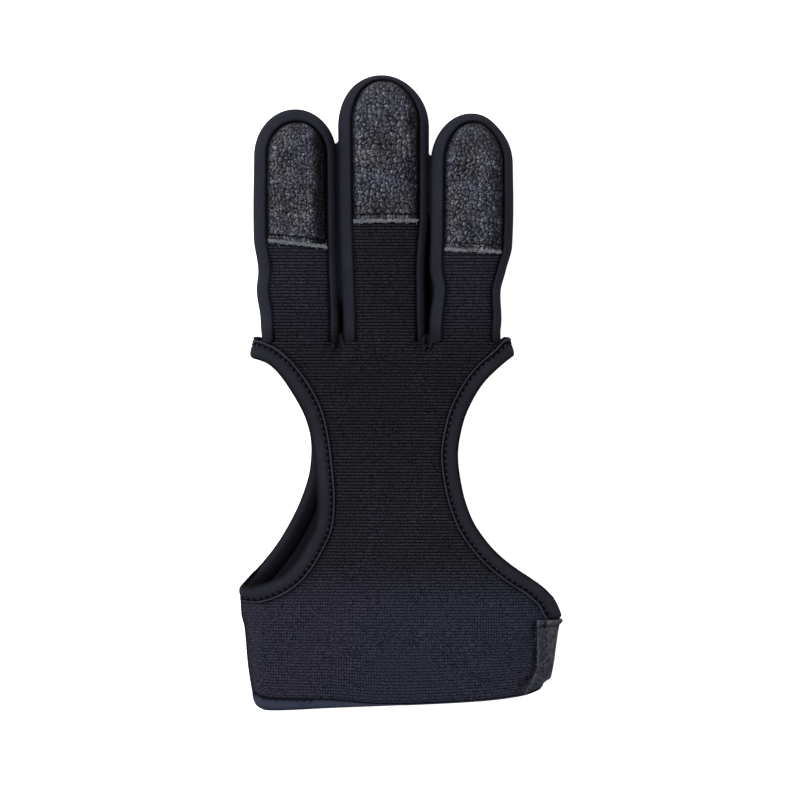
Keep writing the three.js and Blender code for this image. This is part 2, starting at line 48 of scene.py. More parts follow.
# Sizes of the glove in millimetres, with the values of the part's source
KNIT_THICKNESS = 1.2
BACK_THICKNESS = 1.6
LEATHER_THICKNESS = 1.3
STRAP_THICKNESS = 1.4
PATCH_THICKNESS = 0.8
PROUD = 0.6
GAP = 0.3
FINGER_GAP = 0.5
FINGER_ROW_OFFSET = 5.7
CROTCH_Y = 17.2
WRIST_DEPTH = 31.0
KNUCKLE_EAR = 2.9
EAR_LEAN = 1.4
WRIST_SLANT = 8.4
WRIST_LEFT_REACH = 4.2
WRIST_RIGHT_REACH = 19.2
FINGER_HEIGHT = 12.4
PALM_HEIGHT = 12.0
WRIST_HEIGHT = 13.2
SPLIT_HEIGHT = 7.0
LEFT_CUT_DEPTH = 22.6
LEFT_CUT_LENGTH = 77.5
LEFT_BINDING_WIDTH = 6.2
RIGHT_CUT_DEPTH = 18.7
RIGHT_CUT_LENGTH = 89.0
RIGHT_BINDING_WIDTH = 5.4
BACK_EDGE_INSET = 1.2
SIDE_SPARE = 4.5
LEFT_RIM = 4.8
RIGHT_RIM = 3.4
STRAP_WIDTH = 20.2
STRAP_BACK_REACH = 76.0
TAB_REACH = 12.2
STRAP_SIDE_INSET = 2.9
PATCH_MARGIN = 1.6
HOOK_LENGTH = 28.0
LOOP_LENGTH = 56.0
CROWN = 3.0
FLATNESS = 4.0
SOLE = 1.05
DOME_SQUARENESS = 0.7
WAIST = 0.42
BASE = PROUD
WRIST_BASE = STRAP_THICKNESS + 2 * PATCH_THICKNESS + 3 * GAP + PROUD
PALM_LENGTH = RIGHT_BINDING_WIDTH - PROUD + RIGHT_CUT_LENGTH + WRIST_DEPTH

# Rows of a finger: along, width, shift and height, with the values of the part's source. Pebble is the
# size of the leather's grain, and shade says how much painted shade darkens the leather towards its right
# side, which turns away from the light
FINGERS = [
    {
        "name": "left", "pebble": 1.4, "shade": 0.85, "leather": 46.0, "slant": 3.0,
        "width": 28.0, "length": 79.2, "dome": 15.8, "tip_rim": 4.8,
        "rows": [
            (-0.28, 0.93, 0.050, 0.90), (0.02, 0.96, 0.062, 0.96), (0.12, 0.965, 0.058, 0.96),
            (0.28, 1.0, 0.030, 0.97), (0.38, 0.97, 0.036, 0.95), (0.56, 1.01, 0.008, 0.98), (1, 1, 0, 1),
        ],
    },
    {
        "name": "middle", "pebble": 1.95, "shade": 0.6, "leather": 50.0, "slant": -0.4,
        "width": 31.0, "length": 90.8, "dome": 17.7, "tip_rim": 2.2,
        "rows": [
            (-0.26, 0.9, 0.010, 0.90), (0.02, 0.91, 0.010, 0.96), (0.12, 0.915, 0.008, 0.95),
            (0.27, 0.92, -0.002, 0.94), (0.40, 0.94, -0.004, 0.97), (0.56, 0.98, 0.004, 0.98), (1, 1, 0, 1),
        ],
    },
    {
        "name": "right", "pebble": 1.7, "shade": 0.5, "leather": 47.0, "slant": 1.3,
        "width": 27.8, "length": 77.8, "dome": 17.2, "tip_rim": 3.4,
        "rows": [
            (-0.28, 0.88, -0.080, 0.90), (0.02, 0.885, -0.080, 0.96), (0.12, 0.885, -0.074, 0.95),
            (0.28, 0.83, -0.058, 0.95), (0.40, 0.93, -0.048, 0.96), (0.54, 0.995, -0.012, 0.98), (1, 1, 0, 1),
        ],
    },
]
# Rows of a cut: along and depth
LEFT_FRONT_CUT = [
    (0, 0), (0.018, 0.226), (0.066, 0.436), (0.158, 0.677), (0.281, 0.857), (0.44, 0.95), (0.632, 1),
    (0.719, 0.977), (0.798, 0.857), (0.873, 0.707), (0.925, 0.556), (0.969, 0.331), (0.995, 0.03),
]
LEFT_BACK_CUT = [
    (0, 0), (0.018, 0.226), (0.066, 0.436), (0.158, 0.677), (0.281, 0.857), (0.40, 0.90), (0.48, 0.88),
    (0.623, 0.735), (0.794, 0.43), (0.873, 0.232), (0.952, -0.003), (0.995, -0.137),
]
RIGHT_CUT = [
    (0, 0), (0.045, 0.255), (0.106, 0.545), (0.182, 0.764), (0.258, 0.909), (0.38, 1.0), (0.5, 0.927),
    (0.621, 0.745), (0.682, 0.564), (0.742, 0.327), (0.803, -0.018), (0.864, -0.45), (0.91, -0.69),
    (0.955, -0.81), (0.995, -0.88),
]
# Rows of the hand: along, left, right, palm and lift
HAND_ROWS = [
    (0, 0.99, 0.99, 1, 0), (0.035, 0.99, 0.99, 1, 0), (0.06, 0.86, 0.84, 1, 0), (0.11, 0.58, 0.56, 1, 0),
    (0.19, 0.28, 0.24, 1, 0), (0.30, 0.08, 0.04, 1, 0), (0.40, 0.12, 0.06, 1, 0), (0.50, 0.42, 0.22, 1, 0),
    (0.58, 0.68, 0.50, 0.9, 0.05), (0.64, 0.90, 0.80, 0.7, 0.3), (0.68, 1.03, 1.0, 0.5, 0.65),
    (0.74, 1.005, 1.045, 0.2, 1), (0.775, 0.95, 0.97, 0.1, 1), (0.88, 0.875, 0.845, 0, 1),
    (0.96, 0.79, 0.745, 0, 1), (1.04, 0.66, 0.69, 0, 1),
]
# The wrist's lower edge: across and rise
WRIST_EDGE = [
    (-0.06, 1.2), (0.02, 0.60), (0.05, 0.19), (0.09, 0), (0.28, 0.12), (0.50, 0.24), (0.73, 0.40),
    (0.86, 0.61), (0.94, 1), (1.06, 1.8),
]
# The strap's front end, matched to the photo a little closer than in the part: down the strap and how far
# inwards its left edge lies, and then inwards and how far the strap widens downwards
TAB_SIDE = [(0, 0.65), (0.4, 0.64), (0.66, 0.62), (0.8, 0.66), (0.92, 0.9), (1, 1)]
TAB_DROP = [(0, 1.0), (0.28, 1.01), (0.56, 1.11), (1, 1.24)]

# Looks of the cloth
RIB_PITCH = 1.08
WRIST_RIB_PITCH = 1.0
ROWS_PER_RIB = 6
RIB_DEPTH = 0.15
PEBBLE_DEPTH = 0.42
STITCH_PITCH = 2.2
UNDER_BINDING = 1.6
# Width of the wrist hem that shows in front, by place across, as in the photo
HEM_SHOWN = [(-60, 4.3), (-48, 4.4), (-37, 3.9), (-24, 2.9), (-7, 0.9), (5, 0.4), (60, 0.4)]
HEM_BACK_WIDTH = 3.4
# A line of painted shade on the knit beside the strap's front end, this far from its edge
TAB_SHADE_LINE = 0.9
# How far down the palm the rows of cloth begin to follow the wrist's slanted edge
SLANT_FROM = 84
# How far the palm's cloth reaches across, and how wide it eases out at its sides
PALM_ACROSS = 87
PALM_EASE = 7
# Depth and reach of the dip where two fingers part
VALLEY_DEPTH = 3.4
VALLEY_REACH = (3.0, 5.5)
# Painted shade of the cloth's inner face and underside, which lie out of the light
INSIDE_SHADE = 0.42


def mix(a, b, share):
    """Between two amounts."""
    return a + (b - a) * share


def smoothstep(low, high, x):
    """0 below low, 1 above high and smooth between them."""
    t = np.clip((x - low) / (high - low), 0, 1)
    return t * t * (3 - 2 * t)


def curve_through(xs, ys):
    """A smooth curve through points with rising xs, which doesn't swing past them."""
    xs = np.asarray(xs, float)
    ys = np.asarray(ys, float)
    step = np.diff(xs)
    slope = np.diff(ys) / step
    product = slope[1:] * slope[:-1]
    total = slope[1:] + slope[:-1]
    inner = np.where(product > 0, 2 * product / np.where(total == 0, 1, total), 0)
    tangent = np.concatenate([[slope[0]], inner, [slope[-1]]])

    def at(x):
        """The curve's values."""
        x = np.clip(x, xs[0], xs[-1])
        i = np.clip(np.searchsorted(xs, x, side="right") - 1, 0, len(xs) - 2)
        t = (x - xs[i]) / step[i]
        t2 = t * t
        t3 = t2 * t
        return (
            ys[i] * (2 * t3 - 3 * t2 + 1) + ys[i + 1] * (3 * t2 - 2 * t3)
            + step[i] * (tangent[i] * (t3 - 2 * t2 + t) + tangent[i + 1] * (t3 - t2))
        )

    return at


def hashed(i, j, seed):
    """A scattered number from 0 to 1 for a cell of a grid."""
    value = np.sin(i * 127.1 + j * 311.7 + seed * 74.7) * 43758.5453
    return value - np.floor(value)


def noise(x, y, seed):
    """Smooth noise from 0 to 1 with features one unit wide."""
    i = np.floor(x)
    j = np.floor(y)
    fx = x - i
    fy = y - j
    fx = fx * fx * (3 - 2 * fx)
    fy = fy * fy * (3 - 2 * fy)
    low = mix(hashed(i, j, seed), hashed(i + 1, j, seed), fx)
    high = mix(hashed(i, j + 1, seed), hashed(i + 1, j + 1, seed), fx)
    return mix(low, high, fy)


# Layout worked out from the sizes
reach = 0.0
for finger in FINGERS:
    finger["middle"] = reach + finger["width"] / 2
    reach += finger["width"] + FINGER_GAP
ROW_WIDTH = reach - FINGER_GAP
ROW_LEFT = -ROW_WIDTH / 2 - FINGER_ROW_OFFSET
for finger in FINGERS:
    finger["middle"] += ROW_LEFT
    columns = list(zip(*finger["rows"]))
    for key, values in zip(("width_at", "shift_at", "height_at"), columns[1:]):
        finger[key] = curve_through(columns[0], values)
    finger["start"] = CROTCH_Y + finger["length"] - finger["dome"]
EAR_LEFT = ROW_LEFT - KNUCKLE_EAR + FINGERS[0]["rows"][1][2] * FINGERS[0]["width"]
EAR_RIGHT = ROW_LEFT + ROW_WIDTH + KNUCKLE_EAR + FINGERS[2]["rows"][1][2] * FINGERS[2]["width"] * EAR_LEAN
WRIST_LEFT = EAR_LEFT - WRIST_LEFT_REACH
WRIST_RIGHT = EAR_RIGHT + WRIST_RIGHT_REACH
WRIST_END_Y = CROTCH_Y - PALM_LENGTH
STRAP_TOP_Y = WRIST_END_Y + WRIST_DEPTH - GAP
STRAP_BOTTOM_Y = STRAP_TOP_Y - STRAP_WIDTH
STRAP_SIDE_X = WRIST_RIGHT - STRAP_SIDE_INSET
STRAP_END_X = STRAP_SIDE_X - STRAP_BACK_REACH
FINGER_WAIST = mix(BASE, FINGER_HEIGHT, WAIST)
# The lowest points between two fingers
CROTCHES = [
    (FINGERS[0]["middle"] + FINGERS[0]["width"] / 2 + 0.6, CROTCH_Y),
    (FINGERS[1]["middle"] + FINGERS[1]["width"] / 2 - 0.6, CROTCH_Y),
]

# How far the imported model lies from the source's own axes
middle_leather_low, middle_leather_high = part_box("leather_tip_middle")
middle_finger = FINGERS[1]
tongue_middle_x = middle_finger["middle"] + (LEFT_RIM - RIGHT_RIM) / 2
tongue_tip_y = CROTCH_Y + middle_finger["length"] - middle_finger["tip_rim"] - GAP
SHIFT = np.array([
    (middle_leather_low.x + middle_leather_high.x) / 2 / MM - tongue_middle_x,
    middle_leather_high.y / MM - tongue_tip_y,
    0.0,
])

HAND_COLUMNS = list(zip(*HAND_ROWS))
HAND_AT = [curve_through(HAND_COLUMNS[0], values) for values in HAND_COLUMNS[1:]]
EDGE_RISE = curve_through(*zip(*WRIST_EDGE))
HEM_SHOWN_AT = curve_through(*zip(*HEM_SHOWN))
TAB_SIDE_AT = curve_through(*zip(*TAB_SIDE))
TAB_DROP_AT = curve_through(*zip(*TAB_DROP))


def wrist_edge(x):
    """The wrist's lower edge in plan."""
    return WRIST_END_Y + WRIST_SLANT * EDGE_RISE((x - WRIST_LEFT) / (WRIST_RIGHT - WRIST_LEFT))


def finger_lines(finger, y, grow):
    """The middle, half width and top of a finger at a place along it."""
    along = (y - CROTCH_Y) / (finger["length"] - finger["dome"])
    rise = np.clip((y - finger["start"]) / (finger["dome"] - PROUD + grow), 0, 1)
    wide = np.sqrt(np.maximum(1 - rise ** 2, 0))
    half = finger["width"] * finger["width_at"](along) / 2 - PROUD + grow
    centre = finger["middle"] + finger["width"] * finger["shift_at"](along)
    top = FINGER_HEIGHT * finger["height_at"](along) + grow
    return centre, half * wide, FINGER_WAIST + (top - FINGER_WAIST) * wide ** DOME_SQUARENESS


def finger_height(finger, x, y, grow):
    """The height of a finger's upper face."""
    centre, half, top = finger_lines(finger, y, grow)
    across = np.clip(np.abs(x - centre) / np.maximum(half, 1e-6), 0, 1)
    return FINGER_WAIST + (top - FINGER_WAIST) * (1 - across ** CROWN) ** (1 / CROWN)


def hand_spans(y):
    """The hand's sides and heights at places along it."""
    along = (CROTCH_Y - y) / PALM_LENGTH
    left, right, palm, lift = [at(along) for at in HAND_AT]
    left_line = mix(EAR_LEFT, WRIST_LEFT, along)
    right_line = mix(EAR_RIGHT, WRIST_RIGHT, along)
    x0 = mix(EAR_LEFT + LEFT_CUT_DEPTH - SIDE_SPARE, left_line, left) + PROUD
    x1 = mix(EAR_RIGHT - RIGHT_CUT_DEPTH + SIDE_SPARE, right_line, right) - PROUD
    bottom = mix(BASE, WRIST_BASE, lift)
    top = mix(WRIST_HEIGHT, PALM_HEIGHT, palm)
    return x0, x1, bottom, top


def hand_ring(y, angles, grow, flat_bottom=None):
    """Points of the hand's sections at places y and angles round them, 0 at the right side and 90 on top."""
    x0, x1, bottom, top = [np.asarray(v)[..., None] for v in hand_spans(y)]
    waist = mix(bottom, top, WAIST)
    half = (x1 - x0) / 2 + grow
    low = bottom - grow if flat_bottom is None else flat_bottom
    c = np.cos(angles)
    s = np.sin(angles)
    power = np.where(s >= 0, 2 / CROWN, 2 / FLATNESS)
    rise = np.abs(s) ** power
    x = (x0 + x1) / 2 + half * np.sign(c) * np.abs(c) ** power
    upper = mix(waist, top + grow, rise)
    lower = mix(waist, low, np.minimum(1, SOLE * rise))
    return x, np.where(s >= 0, upper, lower)


def quarter(start, end, count):
    """Angles of a quarter turn, close together at both ends."""
    t = (1 - np.cos(np.pi * np.linspace(0, 1, count))) / 2
    return np.radians(start) + np.radians(end - start) * t


def arcs(x, z):
    """Distances along lines of points, from their first point."""
    step = np.hypot(np.diff(x, axis=-1), np.diff(z, axis=-1))
    zero = np.zeros(x.shape[:-1] + (1,))
    return np.concatenate([zero, np.cumsum(step, axis=-1)], axis=-1)


def lookup(s, values, at):
    """Values at the distances at, row by row."""
    i = np.clip((s < at[:, None]).sum(axis=1), 1, s.shape[1] - 1)
    row = np.arange(len(at))
    s0 = s[row, i - 1]
    s1 = s[row, i]
    t = np.clip((at - s0) / np.maximum(s1 - s0, 1e-9), 0, 1)
    return [mix(v[row, i - 1], v[row, i], t) for v in values]


def turns(ends, counts):
    """Angles through several turns, from each end to the next."""
    made = [quarter(*turn) for turn in zip(ends[:-1], ends[1:], counts)]
    return np.concatenate([*[part[:-1] for part in made[:-1]], made[-1]])


TURN_STEPS = 20
FACE_STEPS = 36
FACE_COUNTS = (TURN_STEPS, FACE_STEPS, FACE_STEPS, TURN_STEPS)
FRONT_ANGLES = turns((230, 180, 90, 0, -50), FACE_COUNTS)
BACK_ANGLES = turns((130, 180, 270, 360, 410), FACE_COUNTS)
SIDE_START = TURN_STEPS - 1


def valley(x, y):
    """The dip of the cloth at the roots of the fingers."""
    wide, long = VALLEY_REACH
    return sum(VALLEY_DEPTH * np.exp(-((x - cx) / wide) ** 2 - ((y - cy) / long) ** 2) for cx, cy in CROTCHES)


def dents(x, y):
    """Soft unevenness of empty cloth."""
    return 0.5 * (noise(x / 19, y / 26, 3) - 0.5) + 0.22 * (noise(x / 7, y / 9, 5) - 0.5)


CUTS = {
    "left": {
        "side": 1, "ear": EAR_LEFT, "depth": LEFT_CUT_DEPTH, "length": LEFT_CUT_LENGTH,
        "width": LEFT_BINDING_WIDTH, "front": LEFT_FRONT_CUT, "back": LEFT_BACK_CUT, "back_inset": 0,
        "outwards": 0,
    },
    "right": {
        "side": -1, "ear": EAR_RIGHT, "depth": RIGHT_CUT_DEPTH, "length": RIGHT_CUT_LENGTH,
        "width": RIGHT_BINDING_WIDTH, "front": RIGHT_CUT, "back": RIGHT_CUT, "back_inset": BACK_EDGE_INSET,
        "outwards": 0.5,
    },
}


CUT_POINTS = 160
# Points on each side of a point that its place is averaged with, and rows of the table of borders
CUT_SMOOTHING = 3
BORDER_ROWS = 480


def cut_line(cut, face, inset):
    """The edge of a cut in plan, from the ear down, moved inwards by inset."""
    bottom = CROTCH_Y + PROUD - cut["width"]
    rows = np.array(cut[face], float)
    points = np.stack([
        cut["ear"] + cut["side"] * cut["depth"] * rows[:, 1],
        bottom - cut["length"] * rows[:, 0],
    ], axis=1)
    chord = np.concatenate([[0], np.cumsum(np.hypot(*np.diff(points, axis=0).T))])
    at = np.linspace(0, chord[-1], CUT_POINTS)
    fine = np.stack([curve_through(chord, points[:, 0])(at), curve_through(chord, points[:, 1])(at)], axis=1)
    width = 2 * CUT_SMOOTHING + 1
    kernel = np.ones(width) / width
    padded = np.pad(fine, ((CUT_SMOOTHING, CUT_SMOOTHING), (0, 0)), mode="edge")
    fine[1:-1] = np.stack([np.convolve(padded[:, k], kernel, "valid") for k in (0, 1)], axis=1)[1:-1]
    tangent = np.gradient(fine, axis=0)
    tangent /= np.linalg.norm(tangent, axis=1)[:, None]
    if face == "back":
        inset += cut["back_inset"]
    side = cut["side"]
    return fine + inset * side * np.stack([-tangent[:, 1], tangent[:, 0]], axis=1)


def across_at(line):
    """x of a line as a function of y."""
    order = np.argsort(line[:, 1])
    return lambda y: np.interp(y, line[order, 1], line[order, 0])


def border_table(face, inset):
    """Where the cloth of one face ends at both sides, as distances along the section."""
    ys = np.linspace(CROTCH_Y + 2, WRIST_END_Y - 2, BORDER_ROWS)
    angles = FRONT_ANGLES if face == "front" else BACK_ANGLES
    x, z = hand_ring(ys, angles, 0)
    s = arcs(x, z)
    lines = {}
    for name, cut in CUTS.items():
        line = cut_line(cut, face, cut["width"] - inset)
        lines[name] = (across_at(line)(ys), line[:, 1].min(), line[:, 1].max())
    left = np.zeros(len(ys))
    right = np.zeros(len(ys))
    middle = len(angles) // 2
    turn = SIDE_START
    rising = 1 if face == "front" else -1
    for k, y in enumerate(ys):
        left[k] = np.interp(SPLIT_HEIGHT * rising, z[k, :middle] * rising, s[k, :middle])
        right[k] = np.interp(-SPLIT_HEIGHT * rising, -z[k, middle:] * rising, s[k, middle:])
        for name, (cut_x, lowest, highest) in lines.items():
            if not lowest < y < highest + 3:
                continue
            if name == "left" and cut_x[k] > x[k, turn]:
                at = np.interp(cut_x[k], x[k, turn:middle], s[k, turn:middle])
                left[k] = max(left[k], at)
            if name == "right" and cut_x[k] < x[k, -1 - turn]:
                at = np.interp(cut_x[k], x[k, middle:-turn], s[k, middle:-turn])
                right[k] = min(right[k], at)
    order = np.argsort(ys)
    return lambda y: (np.interp(y, ys[order], left[order]), np.interp(y, ys[order], right[order]))


def face_points(face, borders, y, share, grow):
    """Points of the hand's front or back cloth, at shares of the way between its borders."""
    angles = FRONT_ANGLES if face == "front" else BACK_ANGLES
    x, z = hand_ring(y, angles, grow)
    s = arcs(x, z)
    left, right = borders(y)
    x, z = lookup(s, (x, z), mix(left, right, share))
    return np.stack([x, y, z], axis=1)


def grid_normals(grid):
    """Unit normals of a grid of points, upwards where rows run along +Y and columns along +X."""
    down = np.gradient(grid, axis=0)
    across = np.gradient(grid, axis=1)
    normal = np.cross(across, down)
    return normal / np.maximum(np.linalg.norm(normal, axis=-1, keepdims=True), 1e-9)


# Small moves of the cloth towards the outline it is matched to: place, reach and move, all in plan
MOVES = [
    ((-6.8, 104.5), (16, 8), (-0.85, 0)),
    ((38.1, 60.4), (6, 18), (0.6, 0)),
    ((33.0, 90.3), (6, 5), (-0.6, 0)),
    ((-49.6, 60.4), (6, 18), (-0.35, 0)),
    ((-36.7, -0.5), (7, 12), (-1.0, 0)),
    ((36.6, 18.8), (2.8, 2.8), (-0.3, 2.7)),
    ((-49.6, 18.2), (3.0, 2.6), (0.5, 0.4)),
]


def moved(points):
    """Points with the small moves made."""
    made = points.copy()
    for (x, y), (reach_x, reach_y), move in MOVES:
        near = np.exp(-((points[:, 0] - x) / reach_x) ** 2 - ((points[:, 1] - y) / reach_y) ** 2)
        made[:, :2] += near[:, None] * np.array(move)
    return made


class Cloth:
    """Points and faces of one piece, in millimetres."""

    def __init__(self):
        self.points = []
        self.uvs = []
        self.painted_light_and_tone = []
        self.faces = []
        self.count = 0

    def add(self, points, uvs=None, painted_light_and_tone=None):
        """Adds points and returns their numbers in the same layout."""
        shape = points.shape[:-1]
        total = int(np.prod(shape))
        self.points.append(points.reshape(-1, 3))
        self.uvs.append(points[..., :2].reshape(-1, 2) if uvs is None else uvs.reshape(-1, 2))
        self.painted_light_and_tone.append(np.ones(total) if painted_light_and_tone is None else painted_light_and_tone.reshape(-1))
        numbers = np.arange(self.count, self.count + total).reshape(shape)
        self.count += total
        return numbers

    def quads(self, numbers, wrap_rows=False, wrap_columns=False):
        """Faces between the points of a grid."""
        if wrap_rows:
            numbers = np.concatenate([numbers, numbers[:1]], axis=0)
        if wrap_columns:
            numbers = np.concatenate([numbers, numbers[:, :1]], axis=1)
        corners = [numbers[:-1, :-1], numbers[:-1, 1:], numbers[1:, 1:], numbers[1:, :-1]]
        self.faces.extend(np.stack(corners, axis=-1).reshape(-1, 4).tolist())

    def rim(self, outer, inner, rows=None):
        """Joins a border of the outer face with one of the inner face, which may have fewer points."""
        if rows is None:
            rows = range(len(inner))
        rows = list(rows)
        for k in range(len(rows) - 1):
            edge = outer[rows[k]:rows[k + 1] + 1].tolist()
            self.faces.append(edge + [int(inner[k + 1]), int(inner[k])])

    def shell(self, outer, inner, painted_light_and_tone=None, inner_painted_light_and_tone=None):
        """A closed piece between two grids of points."""
        top = self.add(outer, painted_light_and_tone=painted_light_and_tone)
        low = self.add(inner, painted_light_and_tone=inner_painted_light_and_tone)
        self.quads(top)
        self.quads(low)
        self.rim(top[:, 0], low[:, 0])
        self.rim(top[:, -1], low[:, -1])
        self.rim(top[0], low[0])
        self.rim(top[-1], low[-1])

    def tube(self, rings, painted_light_and_tone=None, closed=False):
        """A piece through closed rings of points, with its ends capped unless the rings close up."""
        numbers = self.add(rings, painted_light_and_tone=painted_light_and_tone)
        self.quads(numbers, wrap_rows=closed, wrap_columns=True)
        if not closed:
            self.faces.append(numbers[0].tolist())
            self.faces.append(numbers[-1].tolist())

    def build(self, name, look, replaces=(), weld=0.0):
        """Makes the object; a look is a material with a slot's name, which is not used."""
        material, slot = look
        mesh = bpy.data.meshes.new(name)
        points = (moved(np.concatenate(self.points)) + SHIFT) * MM
        mesh.from_pydata(points.tolist(), [], self.faces)
        uvs = np.concatenate(self.uvs)
        loops = np.zeros(len(mesh.loops), dtype=np.int32)
        mesh.loops.foreach_get("vertex_index", loops)
        mesh.uv_layers.new(name="UVMap").data.foreach_set("uv", uvs[loops].astype(np.float32).ravel())
        # Painted light and shade for each point, with some of the material's own tone; the materials multiply
        # it into their colour
        layer = mesh.attributes.new("painted_light_and_tone", "FLOAT", "POINT")
        layer.data.foreach_set("value", np.concatenate(self.painted_light_and_tone).astype(np.float32))
        shape = bmesh.new()
        shape.from_mesh(mesh)
        if weld:
            bmesh.ops.remove_doubles(shape, verts=shape.verts, dist=weld * MM)
        bmesh.ops.recalc_face_normals(shape, faces=shape.faces)
        shape.to_mesh(mesh)
        shape.free()
        mesh.polygons.foreach_set("use_smooth", [True] * len(mesh.polygons))
        mesh.materials.append(material)
        made = bpy.data.objects.new(name, mesh)
        bpy.context.scene.collection.objects.link(made)
        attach(made, "root")
        for node in replaces:
            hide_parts(node)
        return made


class Value:
    """A shader socket that can be written into sums."""

    def __init__(self, tree, socket):
        self.tree = tree
        self.socket = socket

    def _sum(self, operation, first, second):
        return self.tree.add("ShaderNodeMath", {"operation": operation}, {0: first, 1: second})

    def __add__(self, other):
        return self._sum("ADD", self, other)

    def __radd__(self, other):
        return self._sum("ADD", other, self)

    def __sub__(self, other):
        return self._sum("SUBTRACT", self, other)

    def __rsub__(self, other):
        return self._sum("SUBTRACT", other, self)

    def __mul__(self, other):
        return self._sum("MULTIPLY", self, other)

    def __truediv__(self, other):
        return self._sum("DIVIDE", self, other)

    def fraction(self):
        """What is over the whole number below."""
        return self._sum("FRACT", self, 0.0)

    def absolute(self):
        """Without its sign."""
        return self._sum("ABSOLUTE", self, 0.0)

    def ramp(self, low, high):
        """0 below low, 1 above high and smooth between them."""
        settings = {"interpolation_type": "SMOOTHSTEP"}
        inputs = {"Value": self, "From Min": low, "From Max": high}
        return self.tree.add("ShaderNodeMapRange", settings, inputs)


def mixed(first, second, share):
    """Between two amounts of a shader sum."""
    return first + (second - first) * share


class Tree:
    """The nodes of one material."""

    def __init__(self, name):
        self.material = bpy.data.materials.new(name)
        self.material.use_nodes = True
        self.tree = self.material.node_tree
        self.shader = self.tree.nodes["Principled BSDF"]

    def put(self, socket, value):
        """Links a sum to a socket or sets the socket's constant."""
        if isinstance(value, Value):
            self.tree.links.new(value.socket, socket)
        else:
            socket.default_value = value

    def add(self, kind, settings=None, inputs=None, output=0):
        """Adds a node and returns one of its outputs."""
        node = self.tree.nodes.new(kind)
        for key, value in (settings or {}).items():
            setattr(node, key, value)
        for key, value in (inputs or {}).items():
            self.put(node.inputs[key], value)
        return Value(self, node.outputs[output])

    def split(self, vector):
        """The three parts of a vector."""
        node = self.tree.nodes.new("ShaderNodeSeparateXYZ")
        self.put(node.inputs[0], vector)
        return [Value(self, out) for out in node.outputs]

    def place(self):
        """Object coordinates in millimetres."""
        coordinates = self.add("ShaderNodeTexCoord", output="Object")
        return self.add("ShaderNodeVectorMath", {"operation": "SCALE"}, {0: coordinates, "Scale": 1 / MM})

    def sheet(self):
        """The piece's own flat coordinates."""
        return self.split(self.add("ShaderNodeTexCoord", output="UV"))

    def painted_light_and_tone(self):
        """The painted light and shade that the piece's points carry, with some of the material's own tone."""
        return self.add("ShaderNodeAttribute", {"attribute_name": "painted_light_and_tone"}, output="Fac")

    def cloud(self, vector, scale, detail):
        """Smooth noise in space."""
        inputs = {"Vector": vector, "Scale": scale, "Detail": detail}
        return self.add("ShaderNodeTexNoise", inputs=inputs)

    def blend(self, first, second, share):
        """Between two colours."""
        node = self.tree.nodes.new("ShaderNodeMix")
        node.data_type = "RGBA"
        self.put(node.inputs[0], share)
        self.put(node.inputs[6], (*first, 1) if isinstance(first, tuple) else first)
        self.put(node.inputs[7], (*second, 1) if isinstance(second, tuple) else second)
        return Value(self, node.outputs[2])

    def shade(self, colour, share):
        """A colour made darker or lighter by a share."""
        return self.add("ShaderNodeVectorMath", {"operation": "SCALE"}, {0: colour, "Scale": share})

    def bump(self, height, distance, strength):
        """A normal from a height, with the distance in millimetres."""
        inputs = {"Height": height, "Distance": distance * MM, "Strength": strength}
        return self.add("ShaderNodeBump", inputs=inputs)

    def finish(self, colour, roughness, specular, normal=None):
        """Sets the surface and returns the material."""
        self.put(self.shader.inputs["Base Color"], colour)
        self.put(self.shader.inputs["Roughness"], roughness)
        self.shader.inputs["Specular IOR Level"].default_value = specular
        if normal is not None:
            self.put(self.shader.inputs["Normal"], normal)
        return self.material


def knit_material():
    """Ribbed knit: bars across, lightened and with their grooves darkened as painted light and shade, and a
    finer grid that shows more at the wrist.
    """
    tree = Tree("knit_cloth_look")
    place = tree.place()
    x, y, _ = tree.split(place)
    u, v, _ = tree.sheet()
    groove = ((v.fraction() - 0.5).absolute() * 2).ramp(0.38, 0.95)
    patchy = tree.cloud(place, 0.09, 3.0)
    speckle = tree.cloud(place, 2.2, 2.0).ramp(0.28, 0.75)
    lines = ((u / 0.92 + patchy * 0.8).fraction() - 0.5).absolute() * 2
    wale = lines.ramp(0.35, 1.0)
    wrist = (y * -1).ramp(56.0, 76.0)
    lower = (y * -1).ramp(10.0, 45.0)
    fingers = y.ramp(8.0, 40.0) * x.absolute().ramp(13.0, 19.0)
    smooth_side = 1 - (x * -1).ramp(43.5, 50.0) * wrist * 0.8
    grid = wale * (wrist * 0.4 + lower * 0.12 + 0.06) * patchy.ramp(0.3, 0.7)
    # The ribs' bars are lightened and their grooves darkened as painted light and shade, less so at the wrist
    bars = mixed(1.0, 1.5 - groove * 1.25, smooth_side * (1 - wrist * 0.5)) * (1 - grid * smooth_side)
    patches = (0.75 + patchy * 0.5) * (1 + lower * 0.24 + fingers * 0.26)
    tone_with_painted_light = bars * (0.28 + speckle * 1.42) * patches * tree.painted_light_and_tone()
    hue = tree.cloud(place, 0.035, 1.0).ramp(0.35, 0.65)
    wrist_colour = tree.blend((0.0215, 0.0200, 0.0325), (0.0190, 0.0210, 0.0325), hue)
    palm_colour = tree.blend((0.0122, 0.0110, 0.0152), (0.0112, 0.0114, 0.0146), hue)
    colour = tree.blend(palm_colour, wrist_colour, wrist)
    colour = tree.blend(colour, (0.0120, 0.0118, 0.0180), fingers)
    height = (1 - groove) * 0.6 * smooth_side - grid * 0.5 + speckle * 0.35
    normal = tree.bump(height, 0.12, 0.7)
    return tree.finish(tree.shade(colour, tone_with_painted_light), 0.9, 0.02, normal)


def smooth_cloth(name, colour, specular):
    """Smooth stretch cloth with a very fine grain."""
    tree = Tree(name)
    place = tree.place()
    fine = tree.cloud(place, 1.5, 3.0)
    patchy = tree.cloud(place, 0.12, 2.0)
    tone_with_painted_light = (0.65 + fine * 0.7) * (0.75 + patchy * 0.5) * tree.painted_light_and_tone()
    normal = tree.bump(fine, 0.05, 0.6)
    return tree.finish(tree.shade(colour, tone_with_painted_light), 0.8, specular, normal)


